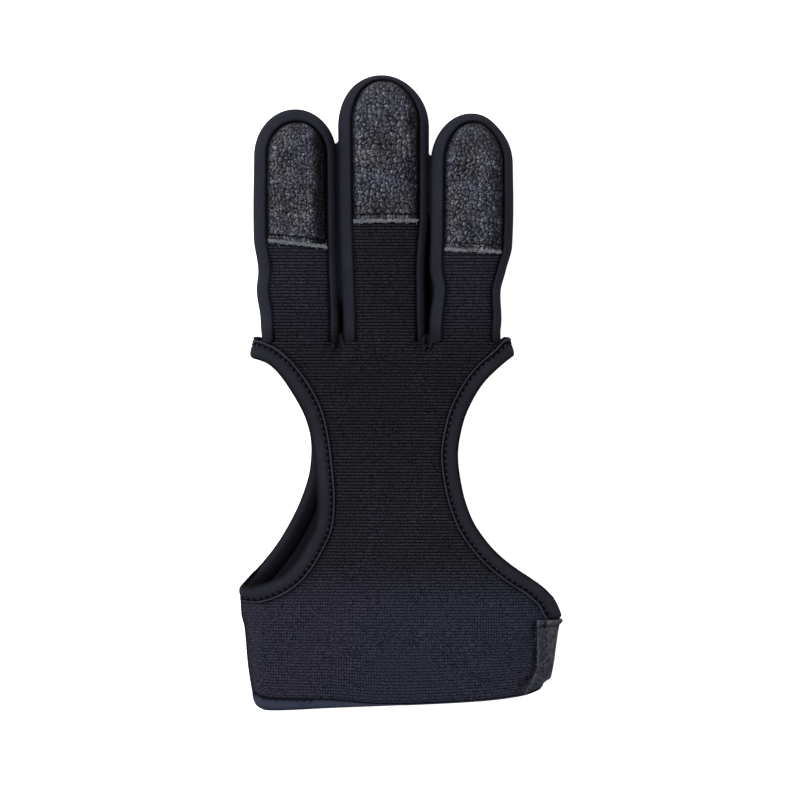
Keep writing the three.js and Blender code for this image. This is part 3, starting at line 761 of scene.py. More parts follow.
def leather_material():
    """Pebbled leather: glossier, with painted highlights on its tops and painted shade in its creases."""
    tree = Tree("leather_look")
    place = tree.place()
    painted_light_and_tone = tree.painted_light_and_tone()
    fine = tree.cloud(place, 1.5, 3.0).ramp(0.30, 0.66)
    patchy = tree.cloud(place, 0.16, 2.0)
    tone_with_painted_light = (0.02 + painted_light_and_tone) * (0.25 + fine * 1.5) * (0.66 + patchy.ramp(0.3, 0.7) * 0.68)
    hue = tree.cloud(place, 0.09, 1.0).ramp(0.38, 0.62)
    colour = tree.shade(tree.blend((0.067, 0.067, 0.082), (0.065, 0.068, 0.094), hue), tone_with_painted_light)
    normal = tree.bump(fine, 0.20, 1.0)
    tree.put(tree.shader.inputs["Coat Weight"], painted_light_and_tone.ramp(0.25, 1.1) * (0.2 + fine * 0.8))
    tree.shader.inputs["Coat Roughness"].default_value = 0.3
    return tree.finish(colour, 0.6, 0.04, normal)


def strap_material():
    """Coated strap: mottled, a little worn and pitted."""
    tree = Tree("strap_look")
    place = tree.place()
    fine = tree.cloud(place, 1.1, 4.0).ramp(0.25, 0.8)
    patchy = tree.cloud(place, 0.22, 3.0)
    pits = tree.cloud(place, 0.8, 1.0).ramp(0.60, 0.70)
    tone_with_painted_light = (0.55 + fine * 0.8) * (0.6 + patchy * 0.8) * (1 - pits * 0.5) * tree.painted_light_and_tone()
    colour = tree.blend((0.043, 0.045, 0.060), (0.065, 0.067, 0.075), patchy.ramp(0.4, 0.7))
    normal = tree.bump(fine - pits, 0.10, 0.8)
    return tree.finish(tree.shade(colour, tone_with_painted_light), 0.7, 0.05, normal)


KNIT = (knit_material(), "knit")
STRETCH = (smooth_cloth("stretch_look", (0.0185, 0.0195, 0.0272), 0.02), "stretch")
BINDING = (smooth_cloth("binding_look", (0.0176, 0.0184, 0.0248), 0.02), "binding")
HEM = (smooth_cloth("hem_look", (0.033, 0.036, 0.058), 0.02), "binding")
LEATHER = (leather_material(), "leather")
STRAP = (strap_material(), "strap")
DARK_THREAD = smooth_cloth("thread_look", (0.003, 0.003, 0.004), 0.02)
PALE_THREAD = smooth_cloth("light_thread_look", (0.060, 0.060, 0.072), 0.05)
BINDING_THREAD = (DARK_THREAD, "binding")
BINDING_SPECKS = (PALE_THREAD, "binding")
LEATHER_THREAD = (DARK_THREAD, "leather")
STRAP_THREAD = (DARK_THREAD, "strap")
STRAP_SPECKS = (PALE_THREAD, "strap")
RAW_EDGE = (smooth_cloth("raw_edge_look", (0.24, 0.25, 0.27), 0.05), "leather")
FASTENER = (smooth_cloth("fastener_look", (0.012, 0.012, 0.014), 0.05), "fastener")


def rib(v):
    """Height of the ribs: rounded bars with narrow grooves."""
    return np.abs(np.sin(np.pi * v)) ** 0.6


def tongue_sides(finger, y, inset):
    """Sides of a finger's front panel, without its rounded tip."""
    y = np.minimum(y, finger["start"])
    centre, half, _ = finger_lines(finger, np.maximum(y, CROTCH_Y + 1.3), 0)
    return centre - half + LEFT_RIM - PROUD + inset, centre + half - RIGHT_RIM + PROUD - inset


def front_height(finger, x, y, grow):
    """The upper face of a finger, easing into the palm at its root."""
    palm = face_height(x, np.full_like(x, CROTCH_Y)) + grow - valley(x, np.minimum(y, CROTCH_Y + 3))
    return mix(palm, finger_height(finger, x, y, grow), smoothstep(CROTCH_Y, CROTCH_Y + 8, y))


def face_height(x, y):
    """The height of the hand's upper face."""
    x0, x1, bottom, top = hand_spans(y)
    waist = mix(bottom, top, WAIST)
    across = np.clip(np.abs(x - (x0 + x1) / 2) / ((x1 - x0) / 2), 0, 1)
    return waist + (top - waist) * (1 - across ** CROWN) ** (1 / CROWN)


def leather_bottom(finger, x):
    """The lower edge of a finger's leather, which slants a little."""
    low = CROTCH_Y + finger["length"] - finger["leather"]
    return low - finger["slant"] * (x - finger["middle"]) / finger["width"]


def border_shade(grid):
    """Painted shade on the knit: soft shadow where the bindings and the hem stand over it, a line of shade
    beside the strap's front end, and darker sides where it turns down at the wrist.
    """
    shade = np.ones(grid.shape[:2])
    for cut in CUTS.values():
        line = cut_line(cut, "front", cut["width"])
        near = np.full(grid.shape[:2], np.inf)
        for px, py in line[::2]:
            near = np.minimum(near, np.hypot(grid[..., 0] - px, grid[..., 1] - py))
        shade *= 0.22 + 0.78 * smoothstep(0.15, 1.3, near)
    hem = grid[..., 1] - wrist_edge(grid[..., 0]) - HEM_SHOWN_AT(grid[..., 0])
    down = (STRAP_TOP_Y - grid[..., 1]) / STRAP_WIDTH
    beside = STRAP_SIDE_X - TAB_REACH * TAB_SIDE_AT(np.clip(down / 1.1, 0, 1)) - grid[..., 0]
    # Painted shade in the groove beside the strap's front end
    groove = np.exp(-((beside - TAB_SHADE_LINE) / 0.8) ** 2)
    groove = groove * smoothstep(-0.02, 0.04, down) * smoothstep(1.2, 1.0, down)
    # Painted shade where the knit turns down at the wrist's sides
    turned = smoothstep(10.5, 7.5, grid[..., 2]) * smoothstep(-40, -50, grid[..., 1])
    return shade * (0.3 + 0.7 * smoothstep(0.0, 0.9, hem)) * (1 - 0.75 * groove) * (1 - 0.6 * turned)


TONGUE_COLUMNS = 14
GAP_COLUMNS = 4
TIP_STEPS = 12
# How far a finger's front panel reaches in under its back cloth's rim
TONGUE_UNDER = 0.4


def make_knit():
    """The ribbed front: palm, wrist front and the three finger fronts as one cloth."""
    borders = border_table("front", UNDER_BINDING)
    top_y = np.array([CROTCH_Y])
    x, z = hand_ring(top_y, FRONT_ANGLES, 0)
    s = arcs(x, z)
    left, right = borders(top_y)
    middle = slice(SIDE_START, len(FRONT_ANGLES) - SIDE_START)
    stops = []
    for finger in FINGERS:
        stops.extend(tongue_sides(finger, top_y, -TONGUE_UNDER))
    stops = [float(v[0]) for v in stops]
    places = [np.interp(v, x[0, middle], s[0, middle]) for v in stops]
    shares = [(p - left[0]) / (right[0] - left[0]) for p in places]
    ends = [0.0, *shares, 1.0]
    counts = [GAP_COLUMNS, TONGUE_COLUMNS] * len(FINGERS) + [GAP_COLUMNS]
    pieces = [np.linspace(a, b, n + 1)[:-1] for a, b, n in zip(ends[:-1], ends[1:], counts)]
    share = np.concatenate([*pieces, [1.0]])
    first = np.concatenate([[0], np.cumsum(counts)])
    step = RIB_PITCH / ROWS_PER_RIB
    base_y = [CROTCH_Y]
    while base_y[-1] > WRIST_END_Y + HEM_BACK_WIDTH:
        narrow = float(smoothstep(50, 75, -base_y[-1]))
        base_y.append(base_y[-1] - mix(RIB_PITCH, WRIST_RIB_PITCH, narrow) / ROWS_PER_RIB)
    base_y = np.array(base_y)
    rows = len(base_y) - 1
    ramp = smoothstep(SLANT_FROM, -base_y[-1], -base_y)
    grid = np.zeros((rows + 1, len(share), 3))
    for k, f in enumerate(share):
        y = base_y.copy()
        for _ in range(2):
            points = face_points("front", borders, y, np.full(rows + 1, f), 0)
            x = points[:, 0]
            lowest = wrist_edge(x) + HEM_SHOWN_AT(x) - 0.5
            y = base_y + (lowest - base_y[-1]) * ramp
        grid[:, k] = points
        grid[:, k, 1] = y
    ease = smoothstep(0, PALM_EASE, np.minimum(share, 1 - share)[None, :] * PALM_ACROSS)
    grid[..., 2] -= valley(grid[..., 0], grid[..., 1]) * ease
    grid[..., 2] += dents(grid[..., 0], grid[..., 1]) * ease
    normals = -grid_normals(grid)
    rib_count = np.arange(rows + 1) / ROWS_PER_RIB
    wander = 0.3 * (noise(grid[..., 0] / 30, grid[..., 1] / 40, 8) - 0.5)
    v = rib_count[:, None] + np.zeros(len(share))
    outer = grid + normals * (RIB_DEPTH * (rib(v)[..., None] - 0.5))
    below_top = smoothstep(0, 4, CROTCH_Y - base_y)[:, None]
    above_end = smoothstep(0, 4, base_y - base_y[-1])[:, None]
    outer[..., 1] += wander * below_top * above_end
    cloth = Cloth()
    uvs = np.stack([grid[..., 0], v], axis=-1)
    top = cloth.add(outer, uvs, border_shade(grid))
    kept = list(range(0, rows, ROWS_PER_RIB)) + [rows]
    inner = cloth.add((grid - normals * KNIT_THICKNESS)[kept], uvs[kept])
    cloth.quads(top)
    cloth.quads(inner)
    cloth.rim(top[:, 0], inner[:, 0], kept)
    cloth.rim(top[:, -1], inner[:, -1], kept)
    cloth.rim(top[-1], inner[-1])
    for part in (0, 2, 4, 6):
        span = slice(first[part], first[part + 1] + 1)
        cloth.rim(top[0, span], inner[0, span])
    for index, finger in enumerate(FINGERS):
        span = slice(first[2 * index + 1], first[2 * index + 2] + 1)
        low = CROTCH_Y + finger["length"] - finger["leather"]
        fine = int((low + 3.5 - CROTCH_Y) / step / ROWS_PER_RIB) * ROWS_PER_RIB
        fine_y = CROTCH_Y + step * np.arange(1, fine + 1)
        reach_y = finger["start"] - 0.5
        coarse_y = np.linspace(fine_y[-1], reach_y, TIP_STEPS)[1:]
        angle = np.linspace(0, np.pi / 2, TIP_STEPS)[1:-1]
        rise = finger["dome"] - finger["tip_rim"] - 0.6
        dome_y = finger["start"] + rise * np.sin(angle)
        ys = np.concatenate([fine_y, coarse_y, dome_y])
        across = np.linspace(-1, 1, TONGUE_COLUMNS + 1)
        x0, x1 = tongue_sides(finger, ys, -TONGUE_UNDER)
        narrow = np.ones(len(ys))
        narrow[-len(angle):] = np.cos(angle)
        x = (x0 + x1)[:, None] / 2 + (x1 - x0)[:, None] / 2 * narrow[:, None] * across
        yy = ys[:, None] + np.zeros_like(x)
        z = front_height(finger, x, yy, 0)
        z += dents(x, yy) * smoothstep(0, 3, yy - CROTCH_Y)
        panel = np.concatenate([grid[:1, span], np.stack([x, yy, z], axis=-1)])
        away = grid_normals(panel)
        away[0] = normals[0, span]
        panel_v = (CROTCH_Y - panel[..., 1]) / RIB_PITCH
        depth = RIB_DEPTH * (rib(panel_v) - 0.5)
        depth[fine + 1:] = 0
        panel_uv = np.stack([panel[..., 0], panel_v], axis=-1)
        # Painted shade on the finger's knit: darker at the seams with the rims and just below the leather's
        # lower edge
        seam = np.minimum(x - x[:, :1], x[:, -1:] - x)
        shade = 0.35 + 0.65 * smoothstep(0.4, 1.6, seam)
        shade *= 0.45 + 0.55 * smoothstep(0.2, 1.5, leather_bottom(finger, x) - yy)
        numbers = cloth.add((panel + away * depth[..., None])[1:], panel_uv[1:], shade)
        numbers = np.concatenate([top[:1, span], numbers])
        keep = list(range(ROWS_PER_RIB, fine + 1, ROWS_PER_RIB)) + list(range(fine + 1, len(ys) + 1))
        low_numbers = cloth.add((panel - away * KNIT_THICKNESS)[keep], panel_uv[keep])
        low_numbers = np.concatenate([inner[:1, span], low_numbers])
        cloth.quads(numbers)
        cloth.quads(low_numbers)
        cloth.rim(numbers[:, 0], low_numbers[:, 0], [0, *keep])
        cloth.rim(numbers[:, -1], low_numbers[:, -1], [0, *keep])
        cloth.rim(numbers[-1], low_numbers[-1])
    return cloth.build("knit_cloth", KNIT, ["knit_front"])


SIDE_STEPS = 90
DOME_STEPS = 60
# Rows of points over a sleeve's rolled rim and underneath it
ROLL_STEPS = 24
UNDER_STEPS = 12


def make_sleeve(finger):
    """The back cloth of one finger: a rim beside the front panel that rolls round and underneath."""
    low = CROTCH_Y - 1.6
    up = np.linspace(low, finger["start"], SIDE_STEPS)
    turn = np.linspace(0, np.pi, DOME_STEPS)[1:-1]
    rim_x0, rim_x1 = tongue_sides(finger, up, 0)
    centre, half, _ = finger_lines(finger, up, PROUD)
    rounding = 0.8 * smoothstep(0.6, -1.8, up - CROTCH_Y) ** 1.5
    rim_x0 = mix(rim_x0, centre - half, rounding)
    rim_x1 = mix(rim_x1, centre + half, rounding)
    medial = finger["dome"] * 0.4
    x0, x1 = tongue_sides(finger, np.array([finger["start"]]), 0)
    end_centre, end_half, _ = finger_lines(finger, np.array([finger["start"]]), PROUD)
    rise = finger["dome"] - finger["tip_rim"]

    def round_tip(left, right, tip_x, tip_rise):
        """A line in plan up the finger's left side, over its tip and down its right side."""
        tip = np.stack([tip_x, finger["start"] + tip_rise * np.sin(turn)], 1)
        return np.concatenate([np.stack([left, up], 1), tip, np.stack([right, up], 1)[::-1]])

    edge = round_tip(rim_x0, rim_x1, (x0 + x1) / 2 - (x1 - x0) / 2 * np.cos(turn), rise)
    outline = round_tip(centre - half, centre + half, end_centre - end_half * np.cos(turn), finger["dome"])
    spine = round_tip(centre, centre, end_centre + 0 * turn, medial)
    t = np.linspace(0, 1, ROLL_STEPS)
    g = 1 - (1 - t) ** 2.6
    plan = edge[:, None] + (outline - edge)[:, None] * g[:, None]
    distance = np.linalg.norm(plan - edge[:, None], axis=-1)
    width = np.linalg.norm(outline - edge, axis=-1)[:, None]
    x, y = plan[..., 0], plan[..., 1]
    z = finger_height(finger, x, y, PROUD)
    z[:, -1] = FINGER_WAIST
    body = np.clip((z - FINGER_WAIST) / 3, 0, 1)
    z += body * (0.12 * np.sin(np.pi * distance / width) - 1.0 * np.exp(-(distance / 0.6) ** 2))
    z -= body * 2.2 * smoothstep(-0.2, -1.6, y - CROTCH_Y)
    seed = 11 + 7 * FINGERS.index(finger)
    creased = smoothstep(50, 5, y - CROTCH_Y)
    z += body * creased * 0.55 * (noise(y / 5.5 + 9, x / 40, seed) - 0.5)
    upper = np.stack([x, y, z], axis=-1)
    t = np.linspace(0, 1, UNDER_STEPS + 1)[1:]
    g = t ** 4
    plan = outline[:, None] + (spine - outline)[:, None] * g[:, None]
    under = np.minimum(1, SOLE * (1 - (1 - g) ** FLATNESS) ** (1 / FLATNESS))
    z = mix(FINGER_WAIST, BASE - PROUD, under) + np.zeros(plan.shape[:2])
    lower = np.concatenate([plan, z[..., None]], axis=-1)
    outer = np.concatenate([upper, lower], axis=1)
    normals = grid_normals(outer)
    facing = np.sign(normals[:, :ROLL_STEPS // 2, 2].sum())
    inner = outer - normals * facing * BACK_THICKNESS
    inner[:, -1, :2] = outer[:, -1, :2]
    # Painted shade on the rim: dark at its seam with the front panel and at its outer edge where it turns
    # down, the underside in painted shade, and darker towards its lower end
    shade = np.ones(outer.shape[:2])
    shade[:, :ROLL_STEPS] = 0.30 + 0.70 * smoothstep(0.15, 1.0, distance)
    shade[:, :ROLL_STEPS] *= 0.42 + 0.58 * smoothstep(0.0, 0.9, width - distance)
    shade[:, ROLL_STEPS:] = INSIDE_SHADE
    shade *= 0.6 + 0.4 * smoothstep(CROTCH_Y - 1, CROTCH_Y + 7, outer[..., 1])
    cloth = Cloth()
    top = cloth.add(outer, None, shade)
    low_numbers = cloth.add(inner)
    cloth.quads(top)
    cloth.quads(low_numbers)
    cloth.rim(top[:, 0], low_numbers[:, 0])
    cloth.rim(top[0], low_numbers[0])
    cloth.rim(top[-1], low_numbers[-1])
    return cloth.build("finger_sleeve_" + finger["name"], STRETCH, ["stretch_back"], weld=0.002)


BACK_ROWS = 150
BACK_COLUMNS = 64


def make_back():
    """The back of the hand and wrist: a sheet underneath that comes up round the wrist's sides."""
    borders = border_table("back", UNDER_BINDING)
    share = (1 - np.cos(np.pi * np.linspace(0, 1, BACK_COLUMNS))) / 2
    base_y = np.linspace(CROTCH_Y + 1.5, WRIST_END_Y + HEM_BACK_WIDTH, BACK_ROWS)
    ramp = smoothstep(SLANT_FROM, -base_y[-1], -base_y)
    grid = np.zeros((BACK_ROWS, BACK_COLUMNS, 3))
    for k, f in enumerate(share):
        y = base_y.copy()
        for _ in range(2):
            points = face_points("back", borders, y, np.full(BACK_ROWS, f), PROUD)
            y = base_y + (wrist_edge(points[:, 0]) + HEM_BACK_WIDTH - 0.8 - base_y[-1]) * ramp
        grid[:, k] = points
        grid[:, k, 1] = y
    grid[..., 2] = np.where(grid[..., 1] > CROTCH_Y - 1, np.maximum(grid[..., 2], 0.2), grid[..., 2])
    normals = grid_normals(grid)
    cloth = Cloth()
    inner = grid - normals * BACK_THICKNESS * np.sign(-normals[:, 20:40, 2].sum())
    # The inner face carries painted shade
    cloth.shell(grid, inner, inner_painted_light_and_tone=np.full(grid.shape[:2], INSIDE_SHADE))
    return cloth.build("back_panel", STRETCH, ["stretch_back"])


# Points of a quarter of the hand's section, and the number of the point at the hand's side
RING_STEPS = 40
RING_SIDE = RING_STEPS - 1


def side_ring(side, y):
    """One side of the hand's section, from under the palm over the side to the top.
    Distances are 0 at the side and grow towards the top."""
    angles = turns((270, 180, 90) if side > 0 else (-90, 0, 90), (RING_STEPS, RING_STEPS))
    x, z = hand_ring(np.array([y]), angles, 0.0)
    s = arcs(x, z)[0]
    return x[0], z[0], s - s[RING_SIDE]


def side_place(side, face, x, y):
    """Distance along the section, from the side, of a point in plan."""
    ring_x, _, s = side_ring(side, y)
    part = slice(RING_SIDE, None) if face == "front" else slice(0, RING_STEPS)
    xs, ss = ring_x[part], s[part]
    order = np.argsort(xs)
    return float(np.interp(x, xs[order], ss[order]))


def side_point(side, y, a, grow):
    """The point at a distance along the section, lifted off the surface."""
    ring_x, ring_z, s = side_ring(side, y)
    x = np.interp([a - 0.3, a, a + 0.3], s, ring_x)
    z = np.interp([a - 0.3, a, a + 0.3], s, ring_z)
    tangent = np.array([x[2] - x[0], z[2] - z[0]])
    tangent /= max(np.linalg.norm(tangent), 1e-9)
    away = np.array([-tangent[1], tangent[0]]) * side
    return np.array([x[1] + away[0] * grow, y, z[1] + away[1] * grow])


# Profile of a binding: share of its width from the folded edge, height over the knit's surface, and painted
# light and shade: a painted highlight on the fold's ridge, painted shade in the stitch channel, at the outer
# edge and in parts of the underside
BINDING_PROFILE = [
    (1.0, -0.2, 0.25), (1.005, 0.30, 0.5), (0.995, 0.62, 2.0), (0.96, 0.80, 2.3), (0.925, 0.66, 1.2),
    (0.895, 0.36, 0.5), (0.86, 0.16, 0.42), (0.82, 0.14, 0.5), (0.77, 0.26, 0.65), (0.71, 0.46, 0.75),
    (0.62, 0.62, 1.0), (0.45, 0.70, 1.1), (0.28, 0.66, 1.0), (0.17, 0.56, 0.6), (0.08, 0.34, 0.3),
    (0.02, -0.05, 0.12), (0.0, -0.5, 0.1), (0.0, -0.95, 0.1), (0.03, -1.35, 0.7), (0.10, -1.6, 1.2),
    (0.25, -1.75, 1.1), (0.42, -1.75, 0.5), (0.95, -1.6, 0.2), (1.0, -1.0, 0.1),
]
BINDING_STEPS = 320
# How far outside the hand's side the folded edge may still be drawn to it
EDGE_OUTSIDE = 2.6
# Share of the way from the folded edge to the sewn one where the channel of stitches lies
CHANNEL = 0.835
# How far along a line the point lies that a stitch looks towards, as a share of the line
AHEAD = 0.002


def binding_loop(cut):
    """Pairs of points round a side opening: the folded edge and the sewn edge, each as y and distance,
    and how far the folded edge stands out from the hand's side."""
    side = cut["side"]
    pairs = []
    for face in ("front", "back"):
        edge = cut_line(cut, face, 0)
        sewn = cut_line(cut, face, cut["width"])
        if face == "back":
            edge, sewn = edge[::-1], sewn[::-1]
        for (ex, ey), (sx, sy) in zip(edge, sewn):
            ring_x, _, _ = side_ring(side, ey)
            inside = (ex - ring_x[RING_SIDE]) * side
            if inside > -EDGE_OUTSIDE:
                folded = side_place(side, face, ex, ey)
                pairs.append([ey, folded, sy, side_place(side, face, sx, sy), min(inside, 0)])
    pairs = np.array(pairs)
    closed = np.concatenate([pairs, pairs[:1]])
    step = np.hypot(np.diff(closed[:, 0]), np.diff(closed[:, 1]))
    along = np.concatenate([[0], np.cumsum(step)])
    at = np.linspace(0, along[-1], BINDING_STEPS, endpoint=False)
    even = np.stack([np.interp(at, along, closed[:, k]) for k in range(5)], axis=1)
    for _ in range(4):
        even = (np.roll(even, 1, axis=0) + 2 * even + np.roll(even, -1, axis=0)) / 4
    return even


def binding_point(cut, row, share, lift):
    """A point of the binding at a share of its width and a height over the knit."""
    y = mix(row[0], row[2], share)
    a = mix(row[1], row[3], share)
    place = side_point(cut["side"], y, a, lift)
    place[0] += cut["side"] * (row[4] - cut["outwards"]) * (1 - share)
    return place


def make_binding(name, cut):
    """The folded edge round a side opening, which is a little puffed between its stitches."""
    loop = binding_loop(cut)
    rings = np.array([
        [binding_point(cut, row, share, lift) for share, lift, _ in BINDING_PROFILE]
        for row in loop
    ])
    # Painted light and shade across the binding, from its profile
    shade = np.array([[tone_with_painted_light for _, _, tone_with_painted_light in BINDING_PROFILE]] * len(loop))
    puff = 0.12 * (noise(np.arange(BINDING_STEPS) / 3.0, np.zeros(BINDING_STEPS), 21) - 0.5)
    rings[:, 9:14, 2] += puff[:, None]
    cloth = Cloth()
    cloth.tube(rings, painted_light_and_tone=shade, closed=True)
    cloth.build("binding_edge_" + name, BINDING, ["binding_" + name])
    return loop


class Threads:
    """Many short rounded pieces of thread in one mesh."""

    def __init__(self):
        self.cloth = Cloth()

    def add(self, centre, along, up, length, thick):
        """Adds a piece of thread round its centre."""
        along = along / np.linalg.norm(along)
        side = np.cross(up, along)
        side /= np.linalg.norm(side)
        up = np.cross(along, side)
        around = np.linspace(0, 2 * np.pi, 7)[:-1]
        rings = []
        for place, size in ((-0.5, 0.25), (-0.38, 0.85), (0, 1.0), (0.38, 0.85), (0.5, 0.25)):
            middle = centre + along * length * place
            circle = np.cos(around)[:, None] * side + np.sin(around)[:, None] * up
            rings.append(middle + circle * thick * size)
        self.cloth.tube(np.array(rings))

    def build(self, name, look):
        """Makes the object."""
        return self.cloth.build(name, look)


def along_loop(points, at):
    """Points at shares of the way along a closed loop, and the loop's length."""
    closed = np.concatenate([points, points[:1]])
    along = np.concatenate([[0], np.cumsum(np.linalg.norm(np.diff(closed, axis=0), axis=1))])
    at = np.mod(at * along[-1], along[-1])
    return np.stack([np.interp(at, along, closed[:, k]) for k in range(3)], axis=1), along[-1]


def stitch_binding(name, cut, loop):
    """Stitches in the channel next to the sewn edge, with lighter loops of thread between them."""

    def line_at(share, lift):
        """A line round the binding."""
        return np.array([binding_point(cut, row, share, lift) for row in loop])

    def places_on(line, at):
        """Points on a line, points a little ahead of them and points above the channel."""
        wanted = ((line, at), (line, at + AHEAD), (above, at))
        return [along_loop(points, where)[0] for points, where in wanted]

    channel = line_at(CHANNEL, 0.24)
    above = line_at(CHANNEL, 1.24)
    beside = line_at(0.77, 0.42)
    _, length = along_loop(channel, np.zeros(1))
    count = int(length / STITCH_PITCH)
    at = np.arange(count) / count
    dark = Threads()
    light = Threads()
    place, ahead, up = places_on(channel, at)
    inward = along_loop(beside, at)[0] - place
    for k, (p, q, r, w) in enumerate(zip(place, ahead, up, inward)):
        slant = w / np.linalg.norm(w) * (0.75 if k % 2 else 0.35)
        dark.add(p + w * 0.35, (q - p) / np.linalg.norm(q - p) + slant, r - p, STITCH_PITCH * 0.62, 0.36)
    place, ahead, up = places_on(beside, at + 0.5 / count)
    for p, q, r in zip(place, ahead, up):
        light.add(p, q - p, r - p, STITCH_PITCH * 0.26, 0.13)
    dark.build("binding_stitches_" + name, BINDING_THREAD)
    light.build("binding_thread_loops_" + name, BINDING_SPECKS)


def pebble_field(x, y, cell, seed):
    """Distances to the nearest and next nearest of scattered points, a number for the nearest, and how
    far it lies towards the upper right."""
    x = x / cell
    y = y / cell
    i = np.floor(x)
    j = np.floor(y)
    nearest = np.full(x.shape, 9.0)
    second = np.full(x.shape, 9.0)
    number = np.zeros(x.shape)
    facing = np.zeros(x.shape)
    for di in (-1, 0, 1):
        for dj in (-1, 0, 1):
            cx = i + di
            cy = j + dj
            px = cx + 0.1 + 0.8 * hashed(cx, cy, seed)
            py = cy + 0.1 + 0.8 * hashed(cx, cy, seed + 1)
            d = np.hypot(px - x, py - y)
            closer = d < nearest
            second = np.where(closer, nearest, np.minimum(second, d))
            number = np.where(closer, hashed(cx, cy, seed + 2), number)
            facing = np.where(closer, px - x + py - y, facing)
            nearest = np.where(closer, d, nearest)
    return nearest, second, number, facing


LEATHER_COLUMNS = 104
LEATHER_ROWS = 205
# How far above the leather's lower edge its stitches lie, and how far apart they are
SEAM_UP = 2.1
SEAM_PITCH = 1.9
# Loose fibres along each finger's leather edge
FIBRE_COUNT = 420
UP = np.array([0, 0, 1.0])


def make_leather(finger):
    """A pebbled leather patch over a finger's front panel."""
    seed = 31 + 5 * FINGERS.index(finger)
    rise = finger["dome"] - finger["tip_rim"] - 0.25
    low = CROTCH_Y + finger["length"] - finger["leather"]
    total = finger["start"] - low + rise
    t = np.linspace(0, 1, LEATHER_ROWS)
    line = low + total * t
    dome = line > finger["start"]
    angle = np.zeros(LEATHER_ROWS)
    tip = np.linspace(0, np.pi / 2, dome.sum() + 1)[1:]
    angle[dome] = tip
    line[dome] = finger["start"] + rise * np.sin(tip)
    narrow = np.cos(angle)
    narrow[-1] = 0.02
    x0, x1 = tongue_sides(finger, line, 0.2)
    across = np.linspace(-1, 1, LEATHER_COLUMNS)
    across = across * (1.06 - 0.06 * across ** 2)
    x = (x0 + x1)[:, None] / 2 + (x1 - x0)[:, None] / 2 * narrow[:, None] * across
    ragged = 0.22 * (noise(x / 0.7, x * 0, seed) - 0.5) + 0.3 * (noise(x / 4, x * 0, seed + 1) - 0.5)
    blend_low = smoothstep(6, 0, line - low)[:, None]
    y = line[:, None] + (leather_bottom(finger, x) - low + ragged) * blend_low
    y = y + np.zeros_like(x)
    side = ((x1 - x0)[:, None] / 2 * narrow[:, None]) * (1 - np.abs(across))
    edge = np.where(y > finger["start"], np.minimum(side, rise - (y - finger["start"])), side)
    warp_x = x + 0.7 * (noise(x / 1.1, y / 1.1, seed + 2) - 0.5) + 1.2 * (noise(x / 6, y / 6, seed + 6) - 0.5)
    warp_y = y + 0.7 * (noise(x / 1.1, y / 1.1, seed + 3) - 0.5) + 1.2 * (noise(x / 6, y / 6, seed + 7) - 0.5)
    stretch = 1.1 + 0.5 * (noise(x / 9, y / 9, seed + 4) - 0.5)
    warp_x = (warp_x - finger["middle"]) * stretch
    near, far, number, facing = pebble_field(warp_x + 50, warp_y, finger["pebble"], seed)
    crease = smoothstep(0.02, 0.34, far - near)
    pebble = crease * (0.6 + 0.7 * number) * (1 - 0.35 * near)
    tip_smooth = 1 - 0.45 * smoothstep(finger["start"] - 2, finger["start"] + rise, y)
    pebble = pebble * tip_smooth
    base = finger_height(finger, x, y, GAP)
    tucked = 1 - np.exp(-((edge + 0.1) / 0.7))
    sunk = smoothstep(1.6, 0, y - leather_bottom(finger, x))
    line_seam = np.exp(-(((y - leather_bottom(finger, x)) - SEAM_UP) / 0.28) ** 2)
    lift = LEATHER_THICKNESS * tucked - 0.45 * sunk - 0.35 * line_seam + dents(x, y)
    outer = np.stack([x, y, base + lift + PEBBLE_DEPTH * (pebble - 0.5) * tucked * (1 - 0.6 * sunk)], axis=-1)
    inner = np.stack([x, y, base - 0.25], axis=-1)
    # Painted light on the pebbles: painted shade in the creases, painted highlights on the cells' rims that
    # face the upper right, and painted shade along the stitch line and the side edges; the cells' own tone
    # also differs at random
    lit = np.exp(-((far - near - 0.24) / 0.12) ** 2) * np.clip(0.3 + facing / 0.5, 0, 1)
    painted_light_and_tone = (0.15 + 0.85 * crease) * (0.55 + 0.5 * number ** 3) + 1.5 * lit * (0.25 + 0.75 * number)
    painted_light_and_tone = mix(painted_light_and_tone, 0.45, 0.6 * smoothstep(finger["start"] - 4, finger["start"] + rise, y))
    painted_light_and_tone = painted_light_and_tone * (1 - 0.7 * line_seam) * (0.2 + 0.8 * smoothstep(0.2, 1.3, edge))
    # Painted shade on the leather's right side, which turns away from the light
    turned = (x - (x0 + x1)[:, None] / 2) / ((x1 - x0)[:, None] / 2)
    turned = turned + 0.25 * (noise(y / 6, x * 0, seed) - 0.5)
    painted_light_and_tone = painted_light_and_tone * (1 - finger["shade"] * smoothstep(0.45, 0.75, turned))
    painted_light_and_tone = painted_light_and_tone + 0.9 * smoothstep(1.0, 0.2, y - leather_bottom(finger, x))
    cloth = Cloth()
    cloth.shell(outer, inner, painted_light_and_tone=painted_light_and_tone)
    return cloth.build("leather_patch_" + finger["name"], LEATHER, ["leather_tip_" + finger["name"]])


